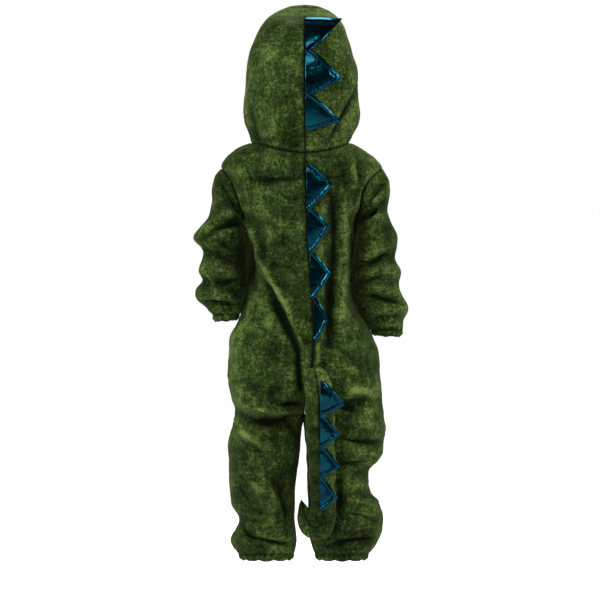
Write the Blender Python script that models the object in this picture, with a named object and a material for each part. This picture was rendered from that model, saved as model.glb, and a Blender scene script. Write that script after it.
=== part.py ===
"""A child's dinosaur costume: a hooded plush one-piece suit, worn and hollow, with a stuffed tail and spikes.

The wearer faces +Y, so the back faces -Y, and +X is the wearer's right. The origin is the centre of the neck
opening. Tables are in millimetres, with one row for each level, fold or spike.
"""

import math

import bmesh
import bpy
import numpy as np

MM = 0.001
WALL = 2.0
SEAM = 0.3
HALF_SEAM = SEAM / 2
EPS = 1e-3

# Body levels: heights at centre back, side and centre front; side reach left and right; seam line at back and
# front; how far the legs have parted (0 whole, 1 at the crotch); gap from the crotch line to each leg; depths
# behind and in front; roundness; where the widest line lies in depth.
BODY_COLUMNS = (
    "z_back z_side z_front out_left out_right seam_back seam_front split"
    " gap_left gap_right back front round y_side"
).split()
BODY = np.array([
    (2, 22, -14, 97, 80, 0, 0, 0, 0, 0, 78, 74, 2.2, 0),
    (-8, 15, -24, 117, 97, 0, 0, 0, 0, 0, 83, 79, 2.1, 1),
    (-18, 5, -34, 132, 112, 0, 0, 0, 0, 0, 87, 84, 2.1, 3),
    (-30, -7, -45, 143, 126, 0, 0, 0, 0, 0, 90, 87, 2.2, 5),
    (-44, -23, -56, 150, 139, 1, 0, 0, 0, 0, 92, 90, 2.3, 7),
    (-60, -45, -70, 146, 134, 2, 0, 0, 0, 0, 94, 92, 2.25, 9),
    (-78, -68, -86, 138, 123, 2, 0, 0, 0, 0, 95, 95, 2.25, 11),
    (-98, -92, -102, 124, 109, 3, 0, 0, 0, 0, 95, 97, 2.25, 13),
    (-122, -120, -122, 108, 91, 4, 0, 0, 0, 0, 95, 99, 2.25, 15),
    (-150, -150, -150, 106, 91, 4, 0, 0, 0, 0, 94, 100, 2.25, 17),
    (-180, -180, -180, 104, 87, 6, 0, 0, 0, 0, 93, 101, 2.25, 18),
    (-212, -212, -212, 104, 85.5, 9, 0, 0, 0, 0, 93, 101, 2.25, 18),
    (-245, -245, -245, 106, 86.5, 12, 0, 0, 0, 0, 95, 101, 2.25, 17),
    (-275, -275, -275, 113, 94, 14, 0, 0, 0, 0, 98, 101, 2.25, 14),
    (-300, -300, -300, 121, 110, 15, 0, 0, 0, 0, 100, 100, 2.25, 9),
    (-325, -325, -325, 135, 121, 16, 0, 0, 0, 0, 103, 99, 2.25, 4),
    (-350, -350, -350, 137, 131, 15, 0, 0, 0, 0, 105, 98, 2.6, 1),
    (-375, -375, -375, 138, 134, 13, 0, 0.06, 0, 0, 106, 96, 2.5, 0),
    (-400, -400, -400, 139, 136, 10, 0, 0.28, 0, 0, 106, 94, 2.4, 0),
    (-425, -425, -425, 135, 138, 6, 0, 0.56, 0, 0, 102, 91, 2.4, 0),
    (-447, -447, -447, 128, 139, 2, 0, 0.82, 0, 0, 96, 88, 2.3, 0),
    (-463, -463, -463, 126, 141, -1, 0, 0.96, 0, 0, 91, 86, 2.3, 0),
    (-472, -472, -472, 127, 142, -2, 0, 1, 0, 0, 88, 84, 2.3, 0),
    (-486, -486, -486, 130, 143, -3, -3, 1, 2, 1, 86, 82, 2.3, 0),
    (-505, -505, -505, 136, 143, -3, -3, 1, 4, 3, 84, 80, 2.3, 0),
    (-528, -528, -528, 139, 140, -3, -3, 1, 5, 5, 81, 77, 2.3, 0),
    (-550, -550, -550, 137, 132, -3, -3, 1, 8, 6, 78, 75, 2.3, 0),
    (-566, -566, -566, 137, 115, -3, -3, 1, 11, 7, 76, 73, 2.3, 0),
    (-586, -586, -586, 137, 114, -3, -3, 1, 14, 8, 74, 72, 2.3, 0),
    (-606, -606, -606, 135, 117, -3, -3, 1, 15, 8, 73, 71, 2.3, 0),
    (-624, -624, -624, 132, 131, -3, -3, 1, 15, 9, 73, 72, 2.3, 0),
    (-641, -641, -641, 124, 138, -3, -3, 1, 15, 9, 72, 72, 2.3, 0),
    (-657, -657, -657, 119, 140, -3, -3, 1, 15, 8, 71, 72, 2.3, 0),
    (-673, -673, -673, 125, 138, -3, -3, 1, 13, 8, 70, 71, 2.3, 0),
    (-690, -690, -690, 134, 134, -3, -3, 1, 11, 12, 68, 70, 2.2, 0),
    (-704, -704, -704, 131, 126, -3, -3, 1, 13, 16, 65, 67, 2.2, 0),
    (-717, -717, -717, 120, 115, -3, -3, 1, 17, 21, 60, 62, 2.1, 0),
    (-729, -729, -729, 116, 112, -3, -3, 1, 20, 24, 57, 59, 2.1, 0),
])
# Armholes: levels of top and bottom, and how far round towards the back and front seam they reach.
ARM_TOP, ARM_BOTTOM = 4, 8
ARM_STEPS = 9
ARM_BACK = {"left": 0.25, "right": 0.37}
ARM_FRONT = {"left": 0.25, "right": 0.25}

# Hood levels: heights at centre back, ear and front; reach left and right; depth behind the ear line and in
# front of it; where the ear line lies; how far round the brow band runs, in degrees; roundness.
HOOD_COLUMNS = "z_back z_side z_front out_left out_right back front ear face round".split()
HOOD = np.array([
    (2, 22, -14, 97, 80, 78, 74, 0, 60.1, 2.2),
    (18, 33, 6, 99, 82, 83, 80, 1, 56, 2.2),
    (34, 44, 28, 103, 87, 90, 86, 2, 51, 2.2),
    (54, 60, 54, 109, 94, 98, 90, 4, 47, 2.2),
    (78, 80, 80, 111, 98, 104, 91, 6, 45, 2.2),
    (110, 110, 114, 108, 96, 107, 90, 8, 44, 2.2),
    (149, 149, 158, 106, 94, 106, 86, 11, 44, 2.2),
    (181, 181, 198, 101, 86, 99, 79, 13, 45, 2.2),
    (207, 207, 234, 91, 78, 86, 71, 15, 48, 2.2),
    (226, 226, 257, 82, 72, 70, 63, 16, 52, 2.2),
    (240, 240, 270, 70, 62, 50, 56, 17, 56, 2.2),
    (249, 249, 276, 50, 44, 27, 52, 18, 58, 2.1),
    (252, 252, 278, 0, 0, 0, 50, 18, 60, 2.0),
])

# Largest folds of back and front: a line from (x0, z0) to (x1, z1), half width, height out of the cloth.
FOLD_COLUMNS = "x0 z0 x1 z1 wide high".split()
BACK_FOLDS = np.array([
    (-106, -126, -84, -190, 13, 8),
    (-84, -190, -22, -292, 14, 9),
    (-22, -292, -4, -350, 13, 5),
    (-60, -258, -8, -330, 12, -7),
    (-95, -46, -8, -45, 9, -4),
    (42, -80, 44, -330, 15, -8),
    (70, -75, 70, -320, 13, 6),
    (82, -8, 84, -60, 9, 5),
    (-128, -432, -12, -462, 17, 9),
    (-122, -466, -20, -488, 13, -8),
    (-130, -488, -76, -514, 14, 4),
    (-100, -566, -62, -624, 16, 5),
    (-60, -600, -24, -560, 13, -4),
    (-124, -652, -30, -640, 13, -5),
    (-126, -690, -26, -684, 13, 4),
    (62, -420, 128, -414, 16, 8),
    (48, -446, 136, -442, 13, -8),
    (52, -500, 134, -534, 13, 5),
    (66, -560, 118, -576, 13, -4),
    (30, -636, 130, -652, 15, 5),
    (34, -672, 132, -670, 12, -4),
])
FRONT_FOLDS = np.array([
    (-104, -130, -50, -230, 15, 6),
    (98, -130, 46, -240, 15, 6),
    (-80, -320, -10, -372, 15, 5),
    (82, -330, 10, -380, 15, 5),
    (-122, -440, -20, -466, 16, 7),
    (124, -436, 22, -462, 16, 7),
    (-126, -478, -24, -492, 13, -6),
    (128, -476, 26, -490, 13, -6),
    (-120, -560, -40, -590, 15, 5),
    (112, -566, 30, -588, 15, 5),
    (-124, -650, -28, -640, 14, -5),
    (130, -654, 26, -644, 14, -5),
    (-124, -690, -26, -684, 13, 5),
    (128, -690, 24, -682, 13, 5),
])

# Sleeve sections from shoulder to wrist: outer point, inner point, centre depth, half depth.
SLEEVE_COLUMNS = "x_outer z_outer x_inner z_inner y_middle deep".split()
SLEEVES = {
    "left": np.array([
        (157, -31, 112.5, -126, 4, 40),
        (164, -41, 111, -131, 0, 43),
        (167, -60, 109.8, -138, -6, 45),
        (167, -84, 108.4, -146, -11, 45),
        (172, -108, 107, -154, -16, 45),
        (190, -131, 105.5, -160, -20, 46),
        (199, -150, 104.5, -170, -22, 46),
        (184, -170, 103.6, -184, -23, 42),
        (184, -187, 103, -199, -24, 42),
        (191, -208, 103.2, -215, -23, 45),
        (184, -226, 104, -229, -21, 42),
        (196, -243, 105, -244, -18, 44),
        (194, -260, 110, -258, -14, 43),
        (178, -275, 114.5, -271, -10, 38),
        (166, -287, 118.5, -284, -6, 29),
        (165, -300, 122, -298, -3, 27),
    ]),
    "right": np.array([
        (147, -36, 95, -127, -2, 44),
        (152, -47, 94.4, -133, -6, 47),
        (153, -68, 93.6, -141, -11, 48),
        (148, -92, 92.4, -150, -16, 48),
        (152, -118, 90.4, -160, -20, 47),
        (165, -142, 89, -173, -23, 47),
        (166, -166, 87, -189, -26, 45),
        (163, -186, 85.7, -204, -27, 43),
        (171, -208, 84.8, -219, -28, 46),
        (167, -229, 85.6, -234, -27, 43),
        (173, -250, 88.2, -252, -25, 44),
        (185, -270, 94, -268, -21, 43),
        (184, -285, 101, -283, -16, 39),
        (176, -300, 110.5, -299, -12, 30),
        (175, -313, 117.5, -312, -8, 26),
        (174, -327, 125, -326, -5, 25),
    ]),
}

# Spikes lie over to the wearer's right: root from z to z on the seam, the tip's x and z, how far it lifts.
SPIKE_COLUMNS = "z_top z_bottom x_tip z_tip off".split()
HOOD_SPIKES = np.array([
    (246, 185.2, 66, 243, 26),
    (184.8, 105.2, 66, 134, 14),
    (104.8, 42, 64, 58, 12),
])
BACK_SPIKES = np.array([
    (-18, -97.2, 49, -56, 14),
    (-97.6, -176.3, 44, -130, 16),
    (-176.7, -256.8, 46, -214, 16),
    (-257.2, -335, 41, -296, 14),
])
TAIL_SPIKES = np.array([
    (-405, -463.8, 70, -447, 8),
    (-464.2, -520.8, 63, -500, 8),
    (-521.2, -575.8, 62, -556, 7),
    (-576.2, -634, 57, -612, 6),
])
SPIKE_CLEAR = 0.7
SPIKE_WRAP = 0.8
SPIKE_EDGE = 1.4
SPIKE_PUFF = 5.5
SPIKE_STEPS = 5
SPIKE_BLUNT = 0.05
SPIKE_BULGE = 0.12
SPIKE_CURVE = 1.3
SPIKE_SPACING = 0.85
SPIKE_ROOT = 0.4
SPIKE_BAND = 0.13
TAIL_ROOT_X = 27.0

# Tail sections along its length: centre x and z, half width, half depth, gap from the suit at its front.
TAIL_COLUMNS = "x z wide deep clear".split()
TAIL = np.array([
    (17, -381, 9, 6, -0.2),
    (18, -387, 16, 12, -0.2),
    (21, -400, 22, 18, 0.1),
    (25, -428, 25, 22, 2),
    (27, -460, 26, 24, 3),
    (28, -500, 25, 24, 4),
    (30, -540, 24, 23, 5),
    (31, -580, 23, 22, 5),
    (32, -615, 22, 21, 5),
    (32, -640, 23, 21, 5),
    (26, -662, 25, 20, 5),
    (11, -664, 22, 17, 6),
    (0, -647, 15, 12, 7),
    (-5, -630, 7, 7, 9),
    (-7, -618, 0, 0, 10),
])
TAIL_ROUND = 6
TAIL_HANGING = 10
TAIL_STEP = 0.7
TAIL_BLUNT = 0.6

# Rows and columns of the panels, and how the folds fade towards the side, the centre seam and the neck.
ARM_PANEL, ARM_SLEEVE = 1.004, 0.996
SIDE_EDGE = 0.0022
BACK_STEPS, FRONT_STEPS, BROW_STEPS = 11, 7, 5
BODY_STEP = 0.92
SLEEVE_STEP = 0.8
HOOD_LEVELS = (0, 1, 2, 3, 4, 5, 6, 7, 8, 8.6, 9.2, 9.8, 10.4, 11, 11.5)
CROWN_LEVEL = len(HOOD) - 1.05
BROW_TOP_LEVEL = len(HOOD) - 1.02
FOLD_SIDE_FADE = 0.35
FOLD_SEAM_FADE = 0.1
FOLD_NECK_LEVELS = 3
FOLD_END = 0.35
DEEPEST_UNDER_SPIKE = -3
BROW_RISE = 0.9
BROW_RISE_LEVELS = 4
FINE_LEVELS = 2000

PLUSH = ((0.058, 0.095, 0.033, 1), 0.85, 0.0)
FOIL = ((0.0, 0.09, 0.13, 1), 0.25, 0.85)


def columns(names, rows):
    """Each named column of a table."""
    return {name: rows[:, i] for i, name in enumerate(names)}


def along(values, at):
    """A smooth curve through the values at 0, 1, 2 and so on, of cubic pieces with matching slopes."""
    values = np.asarray(values, float)
    last = len(values) - 1
    slope = np.gradient(values)
    at = np.clip(np.asarray(at, float), 0, last)
    left = np.minimum(at.astype(int), last - 1)
    t = at - left
    start, end = values[left], values[left + 1]
    into, out = slope[left], slope[left + 1]
    cubic = (2 * t**3 - 3 * t**2 + 1) * start + (3 * t**2 - 2 * t**3) * end
    return cubic + (t**3 - 2 * t**2 + t) * into + (t**3 - t**2) * out


BODY_TABLE = columns(BODY_COLUMNS, BODY)
HOOD_TABLE = columns(HOOD_COLUMNS, HOOD)
SIGN = {"left": -1, "right": 1}
SIGN_Y = {False: -1, True: 1}


def fold_height(rows, x, z):
    """Height of the folds at (x, z): each is a soft ridge or trough along its line, fading at both ends."""
    total = np.zeros(np.broadcast(x, z).shape)
    fold = columns(FOLD_COLUMNS, rows)
    for x0, z0, x1, z1, wide, high in zip(*fold.values()):
        length = math.hypot(x1 - x0, z1 - z0)
        run = ((x - x0) * (x1 - x0) + (z - z0) * (z1 - z0)) / length**2
        near = np.clip(run, 0, 1)
        away = np.hypot(x - x0 - near * (x1 - x0), z - z0 - near * (z1 - z0))
        fade = FOLD_END + (1 - FOLD_END) * np.sin(np.pi * near)
        total += high * fade * np.exp(-((away / wide) ** 2))
    return total


def oval(angle, wide, deep, power):
    """Distance from the middle of a rounded oval to its edge at an angle from its side."""
    across = np.abs(np.cos(angle)) / wide
    along_depth = np.abs(np.sin(angle)) / deep
    return (across**power + along_depth**power) ** (-1 / power)


def body_wide(level, side, front):
    """Half width of one side's oval, its middle and the seam line, from reach and parting."""
    seam = along(BODY_TABLE["seam_front" if front else "seam_back"], level)
    gap = np.maximum(along(BODY_TABLE["gap_" + side], level), 0)
    split = np.clip(along(BODY_TABLE["split"], level), 0, 1)
    reach = along(BODY_TABLE["out_" + side], level) - SIGN[side] * seam
    wide = (reach - gap) / (1 + split)
    return wide, split * wide + gap, seam


def body_depth(level, front):
    """Half depth of the front or back half oval, and where the widest line lies in depth."""
    shift = along(BODY_TABLE["y_side"], level)
    depth = along(BODY_TABLE["front" if front else "back"], level)
    return (depth - shift if front else depth + shift), shift


def body_base(side, level, angle):
    """The smooth suit: half ovals stacked from neck to hem, the angle running from -1 at the back seam over 0
    at the side to 1 at the front seam."""
    level, angle = np.broadcast_arrays(np.asarray(level, float), np.asarray(angle, float))
    points = []
    for front in (False, True):
        wide, middle, seam = body_wide(level, side, front)
        depth, shift = body_depth(level, front)
        power = along(BODY_TABLE["round"], level)
        split = np.clip(along(BODY_TABLE["split"], level), 0, 1)
        rise = (1 - split**power) ** (1 / power)
        turn = np.arctan2(rise * depth, -split * wide) * angle
        reach = oval(turn, wide, depth, power)
        x = SIGN[side] * (middle + reach * np.cos(turn)) + seam
        y = shift + reach * np.sin(turn)
        z_side = along(BODY_TABLE["z_side"], level)
        z_mid = along(BODY_TABLE["z_front" if front else "z_back"], level)
        tilt = np.sin(np.clip(np.abs(angle), 0, 1) * np.pi / 2) ** 2
        points.append(np.stack([x, y, z_side + (z_mid - z_side) * tilt], -1))
    return np.where((angle > 0)[..., None], points[1], points[0])


def normals(surface, side, level, angle, outward=1):
    """Unit normals of a surface from its slopes along the level and round the angle."""
    rise = surface(side, level + EPS, angle) - surface(side, level - EPS, angle)
    turn = surface(side, level, angle + EPS) - surface(side, level, angle - EPS)
    cross = np.cross(turn, rise) * SIGN[side] * -outward
    return cross / np.maximum(np.linalg.norm(cross, axis=-1, keepdims=True), 1e-12)


def body_surface(side, level, angle):
    """The suit with its largest folds, raised along the smooth suit's normals and fading at the side seam."""
    level, angle = np.broadcast_arrays(np.asarray(level, float), np.asarray(angle, float))
    base = body_base(side, level, angle)
    inside = np.clip(level, 2 * EPS, len(BODY) - 1 - 2 * EPS)
    out = normals(body_base, side, inside, angle)
    out[..., 0] *= 1 - np.exp(-(((np.abs(angle) - 1) / FOLD_SEAM_FADE) ** 2))
    facing = np.clip(np.abs(angle) / FOLD_SIDE_FADE, 0, 1)
    facing = facing * facing * (3 - 2 * facing)
    back = fold_height(BACK_FOLDS, base[..., 0], base[..., 2])
    front = fold_height(FRONT_FOLDS, base[..., 0], base[..., 2])
    high = np.where(angle > 0, front, back) * facing
    high *= np.clip(level / FOLD_NECK_LEVELS, 0, 1)
    return base + out * high[..., None]


def hood_surface(side, level, angle):
    """The hood: rings round an ear line, from the back seam at -1 over the ear at 0 to the front at 1."""
    level, angle = np.broadcast_arrays(np.asarray(level, float), np.asarray(angle, float))
    value = {name: along(column, level) for name, column in HOOD_TABLE.items()}
    wide = np.maximum(value["out_" + side], 0)
    depth = np.where(angle > 0, value["front"], np.maximum(value["back"], 0))
    turn = angle * np.pi / 2
    safe = np.maximum(wide, 1e-6)
    reach = oval(turn, safe, np.maximum(depth, 1e-6), value["round"])
    # Towards the crown the brow follows a plain ellipse, so that its top row runs forward on the seam.
    plain = np.where(angle > 0, np.clip((level - 1) / BROW_RISE_LEVELS, 0, 1), 0)
    tilt = np.abs(np.sin(turn)) ** (2 - BROW_RISE * plain)
    z_mid = np.where(angle > 0, value["z_front"], value["z_back"])
    z = value["z_side"] + (z_mid - value["z_side"]) * tilt
    x, y = reach * np.cos(turn), reach * np.sin(turn)
    x += plain * (wide * np.cos(turn) - x)
    y += plain * (depth * np.sin(turn) - y)
    return np.stack([SIGN[side] * x, value["ear"] + y, z], -1)


def arm_reach(side, level, front, grow):
    """How far round the armhole's oval edge lies at a level, made larger or smaller by a share."""
    middle = (ARM_TOP + ARM_BOTTOM) / 2
    half = (ARM_BOTTOM - ARM_TOP) / 2 * grow
    share = np.clip(1 - ((level - middle) / half) ** 2, 0, 1)
    table = ARM_FRONT if front else ARM_BACK
    return table[side] * grow * np.sqrt(share)


def arm_levels(grow):
    """Levels spaced evenly round the armhole's oval, top to bottom."""
    middle = (ARM_TOP + ARM_BOTTOM) / 2
    half = (ARM_BOTTOM - ARM_TOP) / 2 * grow
    return middle - half * np.cos(np.linspace(0, np.pi, ARM_STEPS + 1))


def body_levels():
    """Levels of the panels' rows: close at the shoulder, round the armhole, then down to the hem."""
    shoulder = np.array([0, 1, 2, 3])
    lower = np.arange(ARM_BOTTOM + BODY_STEP * 0.75, len(BODY) - 1.4, BODY_STEP)
    return np.concatenate([shoulder, arm_levels(ARM_PANEL), lower, [len(BODY) - 1]])


def keep_side(points, side, seam):
    """Keeps a half's points on their own side of the centre seam."""
    reach = np.maximum(SIGN[side] * (points[..., 0] - seam), HALF_SEAM)
    points[..., 0] = seam + SIGN[side] * reach
    return points


def body_panel(side, front, steps):
    """Outer and inner points of one panel, a row for each level, from the centre seam to the side edge."""
    levels = body_levels()
    edge = np.maximum(arm_reach(side, levels, front, ARM_PANEL), SIDE_EDGE)
    share = np.linspace(0, 1, steps)[None, :]
    angle = 1 - (1 - edge[:, None]) * share
    angle = angle if front else -angle
    level = np.clip(levels, 2 * EPS, len(BODY) - 1 - 2 * EPS)[:, None]
    outer = body_surface(side, level, angle)
    inner = outer - WALL * normals(body_surface, side, level, angle)
    seam = body_wide(level, side, front)[2]
    parted = np.clip(along(BODY_TABLE["split"], level), 0, 1) >= 0.999
    for points in (outer, inner):
        held = keep_side(points.copy(), side, seam)
        points[...] = np.where(parted[..., None], points, held)
    # Below the crotch the inseam edges of back and front part by half a seam each.
    pull = SIGN_Y[front] * HALF_SEAM * parted[:, :1]
    outer[:, :1, 1] += pull
    inner[:, :1, 1] += pull
    return outer, inner


def hood_panel(side, brow, steps):
    """Outer and inner points of a main hood panel or a brow band, a row for each level up to the crown."""
    last = len(HOOD) - 1
    share = np.linspace(0, 1, steps)[None, :]
    level = np.array(HOOD_LEVELS + (BROW_TOP_LEVEL,) if brow else HOOD_LEVELS, float)[:, None]
    if brow:
        face = along(HOOD_TABLE["face"], level) / 90
        angle = SIDE_EDGE + (face - SIDE_EDGE) * share
    else:
        angle = -1 + (1 - SIDE_EDGE) * share
    safe = np.clip(level, 2 * EPS, last - 2 * EPS)
    outer = hood_surface(side, safe, angle)
    inner = outer - WALL * normals(hood_surface, side, safe, angle, -1)
    outer[0, :, 2] += SEAM
    inner[0, :, 2] += SEAM
    if not brow:
        tip = hood_surface(side, np.array([[CROWN_LEVEL]]), np.array([[-0.5]]))[0]
        outer = np.concatenate([outer, np.repeat(tip[None], steps, 1)])
        under = tip - np.array([[0, 0, WALL]])
        inner = np.concatenate([inner, np.repeat(under[None], steps, 1)])
    return keep_side(outer, side, 0), keep_side(inner, side, 0)


def sleeve_rings(side):
    """Outer and inner rings of a sleeve: the armhole's edge, then ovals between its two side points."""
    steps = ARM_STEPS
    turn = np.arange(2 * steps) * np.pi / steps
    levels = arm_levels(ARM_SLEEVE)
    order = np.concatenate([np.arange(steps + 1), np.arange(steps - 1, 0, -1)])
    at = levels[order]
    front = np.arange(2 * steps) > steps
    reach = np.where(front, arm_reach(side, at, True, ARM_SLEEVE), -arm_reach(side, at, False, ARM_SLEEVE))
    hole = body_surface(side, at, reach)
    hole_out = normals(body_surface, side, at, reach)
    table = columns(SLEEVE_COLUMNS, SLEEVES[side])
    last = len(SLEEVES[side]) - 1
    rows = np.concatenate([np.arange(0, last - 1, SLEEVE_STEP), [last - 1, last]])
    value = {name: along(column, rows)[:, None] for name, column in table.items()}
    middle_x = (value["x_outer"] + value["x_inner"]) / 2
    half_x = (value["x_outer"] - value["x_inner"]) / 2
    middle_z = (value["z_outer"] + value["z_inner"]) / 2
    half_z = (value["z_outer"] - value["z_inner"]) / 2
    x = SIGN[side] * (middle_x + half_x * np.cos(turn))
    y = value["y_middle"] - value["deep"] * np.sin(turn)
    z = middle_z + half_z * np.cos(turn)
    rings = np.concatenate([hole[None], np.stack([x, y + 0 * x, z + 0 * x], -1)])
    down = np.gradient(rings, axis=0)
    round_way = np.roll(rings, -1, 1) - np.roll(rings, 1, 1)
    out = np.cross(round_way, down) * SIGN[side]
    out /= np.linalg.norm(out, axis=-1, keepdims=True)
    mitre = hole_out + out[0] * (np.sin(turn / 2) ** 2)[:, None]
    out[0] = mitre / np.linalg.norm(mitre, axis=-1, keepdims=True)
    return rings, rings - WALL * out


def wall_mesh(name, outer, inner, tube, material):
    """A closed wall between an outer and an inner grid; a tube joins its last column to its first."""
    rows, cols = outer.shape[:2]
    count = rows * cols
    index = np.arange(count).reshape(rows, cols)
    ring = np.concatenate([index, index[:, :1]], 1) if tube else index
    a, b, c, d = ring[:-1, :-1], ring[:-1, 1:], ring[1:, 1:], ring[1:, :-1]
    faces = [np.stack([a, b, c, d], -1).reshape(-1, 4)]
    faces.append(np.stack([d, c, b, a], -1).reshape(-1, 4) + count)
    edges = [(ring[0, 1:], ring[0, :-1]), (ring[-1, :-1], ring[-1, 1:])]
    if not tube:
        edges += [(ring[:-1, 0], ring[1:, 0]), (ring[1:, -1], ring[:-1, -1])]
    for start, end in edges:
        faces.append(np.stack([start, end, end + count, start + count], -1))
    points = np.concatenate([outer.reshape(-1, 3), inner.reshape(-1, 3)])
    return add_mesh(name, points, np.concatenate(faces).tolist(), material)


def add_mesh(name, points, faces, material):
    """Adds an object from points in millimetres, welds its poles and turns its faces outwards."""
    mesh = bpy.data.meshes.new(name)
    mesh.from_pydata((points * MM).tolist(), [], faces)
    work = bmesh.new()
    work.from_mesh(mesh)
    bmesh.ops.remove_doubles(work, verts=work.verts, dist=1e-6)
    bmesh.ops.recalc_face_normals(work, faces=work.faces)
    if work.calc_volume(signed=True) < 0:
        bmesh.ops.reverse_faces(work, faces=work.faces)
    work.to_mesh(mesh)
    work.free()
    mesh.shade_smooth()
    mesh.set_sharp_from_angle(angle=math.radians(50))
    mesh.materials.append(material)
    obj = bpy.data.objects.new(name, mesh)
    bpy.context.scene.collection.objects.link(obj)
    return obj


def level_at(column, z):
    """The level at which a falling or rising column of heights reaches z."""
    levels = np.linspace(0, len(column) - 1, FINE_LEVELS)
    heights = along(column, levels)
    order = np.argsort(heights)
    return np.interp(z, heights[order], levels[order])


def back_depth(x, z):
    """How far behind the origin the suit's back lies at (x, z), folds included."""
    level = level_at(BODY_TABLE["z_back"], z)
    found = []
    for name in ("left", "right"):
        wide, middle, seam = body_wide(level, name, False)
        depth, shift = body_depth(level, False)
        power = along(BODY_TABLE["round"], level)
        share = np.clip(np.abs(SIGN[name] * (x - seam) - middle) / wide, 0, 0.98)
        found.append(depth * (1 - share**power) ** (1 / power) - shift)
    folds = np.maximum(fold_height(BACK_FOLDS, x, z), DEEPEST_UNDER_SPIKE)
    return np.where(x < 0, found[0], found[1]) + folds


def hood_depth(x, z):
    """How far behind the origin the back of the hood lies at (x, z)."""
    level = level_at(HOOD_TABLE["z_back"], z)
    wide = np.maximum(along(HOOD_TABLE["out_right"], level), 1)
    depth = along(HOOD_TABLE["back"], level)
    power = along(HOOD_TABLE["round"], level)
    share = np.clip(np.abs(x) / wide, 0, SPIKE_WRAP)
    return depth * (1 - share**power) ** (1 / power) - along(HOOD_TABLE["ear"], level)


def tail_depth(x, z):
    """How far behind the origin the tail's back lies at (x, z), from its own oval sections."""
    table = columns(TAIL_COLUMNS, TAIL)
    hanging = columns(TAIL_COLUMNS, TAIL[:TAIL_HANGING])
    at = level_at(hanging["z"], z)
    middle, wide, deep = along(table["x"], at), along(table["wide"], at), along(table["deep"], at)
    centre = along(tail_centres(), at)
    share = np.clip(np.abs(x - middle) / wide, 0, SPIKE_WRAP)
    return centre + deep * np.sqrt(1 - share**2)


def tail_centres():
    """Depth of the tail's middle line: it rests on the suit at its root and hangs a little clear below."""
    table = columns(TAIL_COLUMNS, TAIL)
    widths = np.linspace(-0.7, 0.7, 7)[:, None]
    suit = back_depth(table["x"] + widths * table["wide"], table["z"]).max(0)
    return suit + table["clear"] + table["deep"]


def spike(name, row, depth_of, root_x, steps, material):
    """A stuffed triangle: a narrow band at its root runs down the seam, its sides run on to the tip, and it
    lifts off towards the tip. It is thickest in the middle and thin at its sewn edges."""
    value = dict(zip(SPIKE_COLUMNS, row))
    z_top, z_bottom, x_tip, z_tip = value["z_top"], value["z_bottom"], value["x_tip"], value["z_tip"]
    down = np.linspace(0, 1, steps)[:, None]
    reach = np.linspace(0, 1, SPIKE_STEPS) ** SPIKE_SPACING
    out = np.concatenate([[0], SPIKE_BAND + (1 - SPIKE_BAND) * reach])[None, :]
    reach = np.concatenate([[0], reach])[None, :]
    root_z = z_top + (z_bottom - z_top) * down
    blunt = z_tip + SPIKE_BLUNT * (z_bottom - z_top) * (down - 0.5)
    z = root_z + (blunt - root_z) * reach
    z = z_tip + (z - z_tip) * (1 + SPIKE_BULGE * np.sin(np.pi * out))
    z = np.clip(z, z_bottom, z_top)
    x = root_x + (x_tip - root_x) * out + 0 * down
    puff = np.sqrt(np.clip(np.sin(np.pi * down) * np.sin(np.pi * np.clip(out * 0.92 + 0.06, 0, 1)), 0, 1))
    under = depth_of(x, z) + SPIKE_CLEAR + value["off"] * out**SPIKE_CURVE
    over = under + SPIKE_EDGE + SPIKE_PUFF * puff
    outer = np.stack([x, -over, z], -1)
    inner = np.stack([x, -under, z], -1)
    return wall_mesh(name, outer, inner, False, material)


def tail_half(side, material):
    """One stuffed side of the tail: half ovals carried along a curling path, closed on the seam plane."""
    fine = np.concatenate([np.arange(0, len(TAIL) - 1, TAIL_STEP), [len(TAIL) - 1]])
    value = {name: along(column, fine) for name, column in columns(TAIL_COLUMNS, TAIL).items()}
    centre = along(tail_centres(), fine)
    path = np.stack([value["x"], -centre, value["z"]], -1)
    way = np.gradient(path, axis=0)
    way[:, 1] = 0
    way /= np.linalg.norm(way, axis=1, keepdims=True)
    across = np.stack([-way[:, 2], 0 * way[:, 0], way[:, 0]], -1)
    turn = np.linspace(-np.pi / 2, np.pi / 2, TAIL_ROUND + 1)
    wide = np.maximum(value["wide"], TAIL_BLUNT)[:, None, None]
    deep = np.maximum(value["deep"], TAIL_BLUNT)[:, None, None]
    arc = across[:, None, :] * SIGN[side] * np.maximum(wide * np.cos(turn)[None, :, None], HALF_SEAM)
    arc = arc + np.array([0, -1, 0]) * deep * np.sin(turn)[None, :, None]
    points = path[:, None, :] + arc
    rows, cols = points.shape[:2]
    index = np.arange(rows * cols).reshape(rows, cols)
    ring = np.concatenate([index, index[:, :1]], 1)
    a, b, c, d = ring[:-1, :-1], ring[:-1, 1:], ring[1:, 1:], ring[1:, :-1]
    faces = np.stack([a, b, c, d], -1).reshape(-1, 4).tolist()
    faces += [index[0].tolist(), index[-1][::-1].tolist()]
    return add_mesh("tail_" + side, points.reshape(-1, 3), faces, material)


def material(name, finish):
    """A Principled material from a colour, a roughness and a metallic value."""
    colour, rough, metal = finish
    made = bpy.data.materials.new(name)
    made.use_nodes = True
    shader = made.node_tree.nodes["Principled BSDF"]
    shader.inputs["Base Color"].default_value = colour
    shader.inputs["Roughness"].default_value = rough
    shader.inputs["Metallic"].default_value = metal
    made.diffuse_color = colour
    return made


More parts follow.
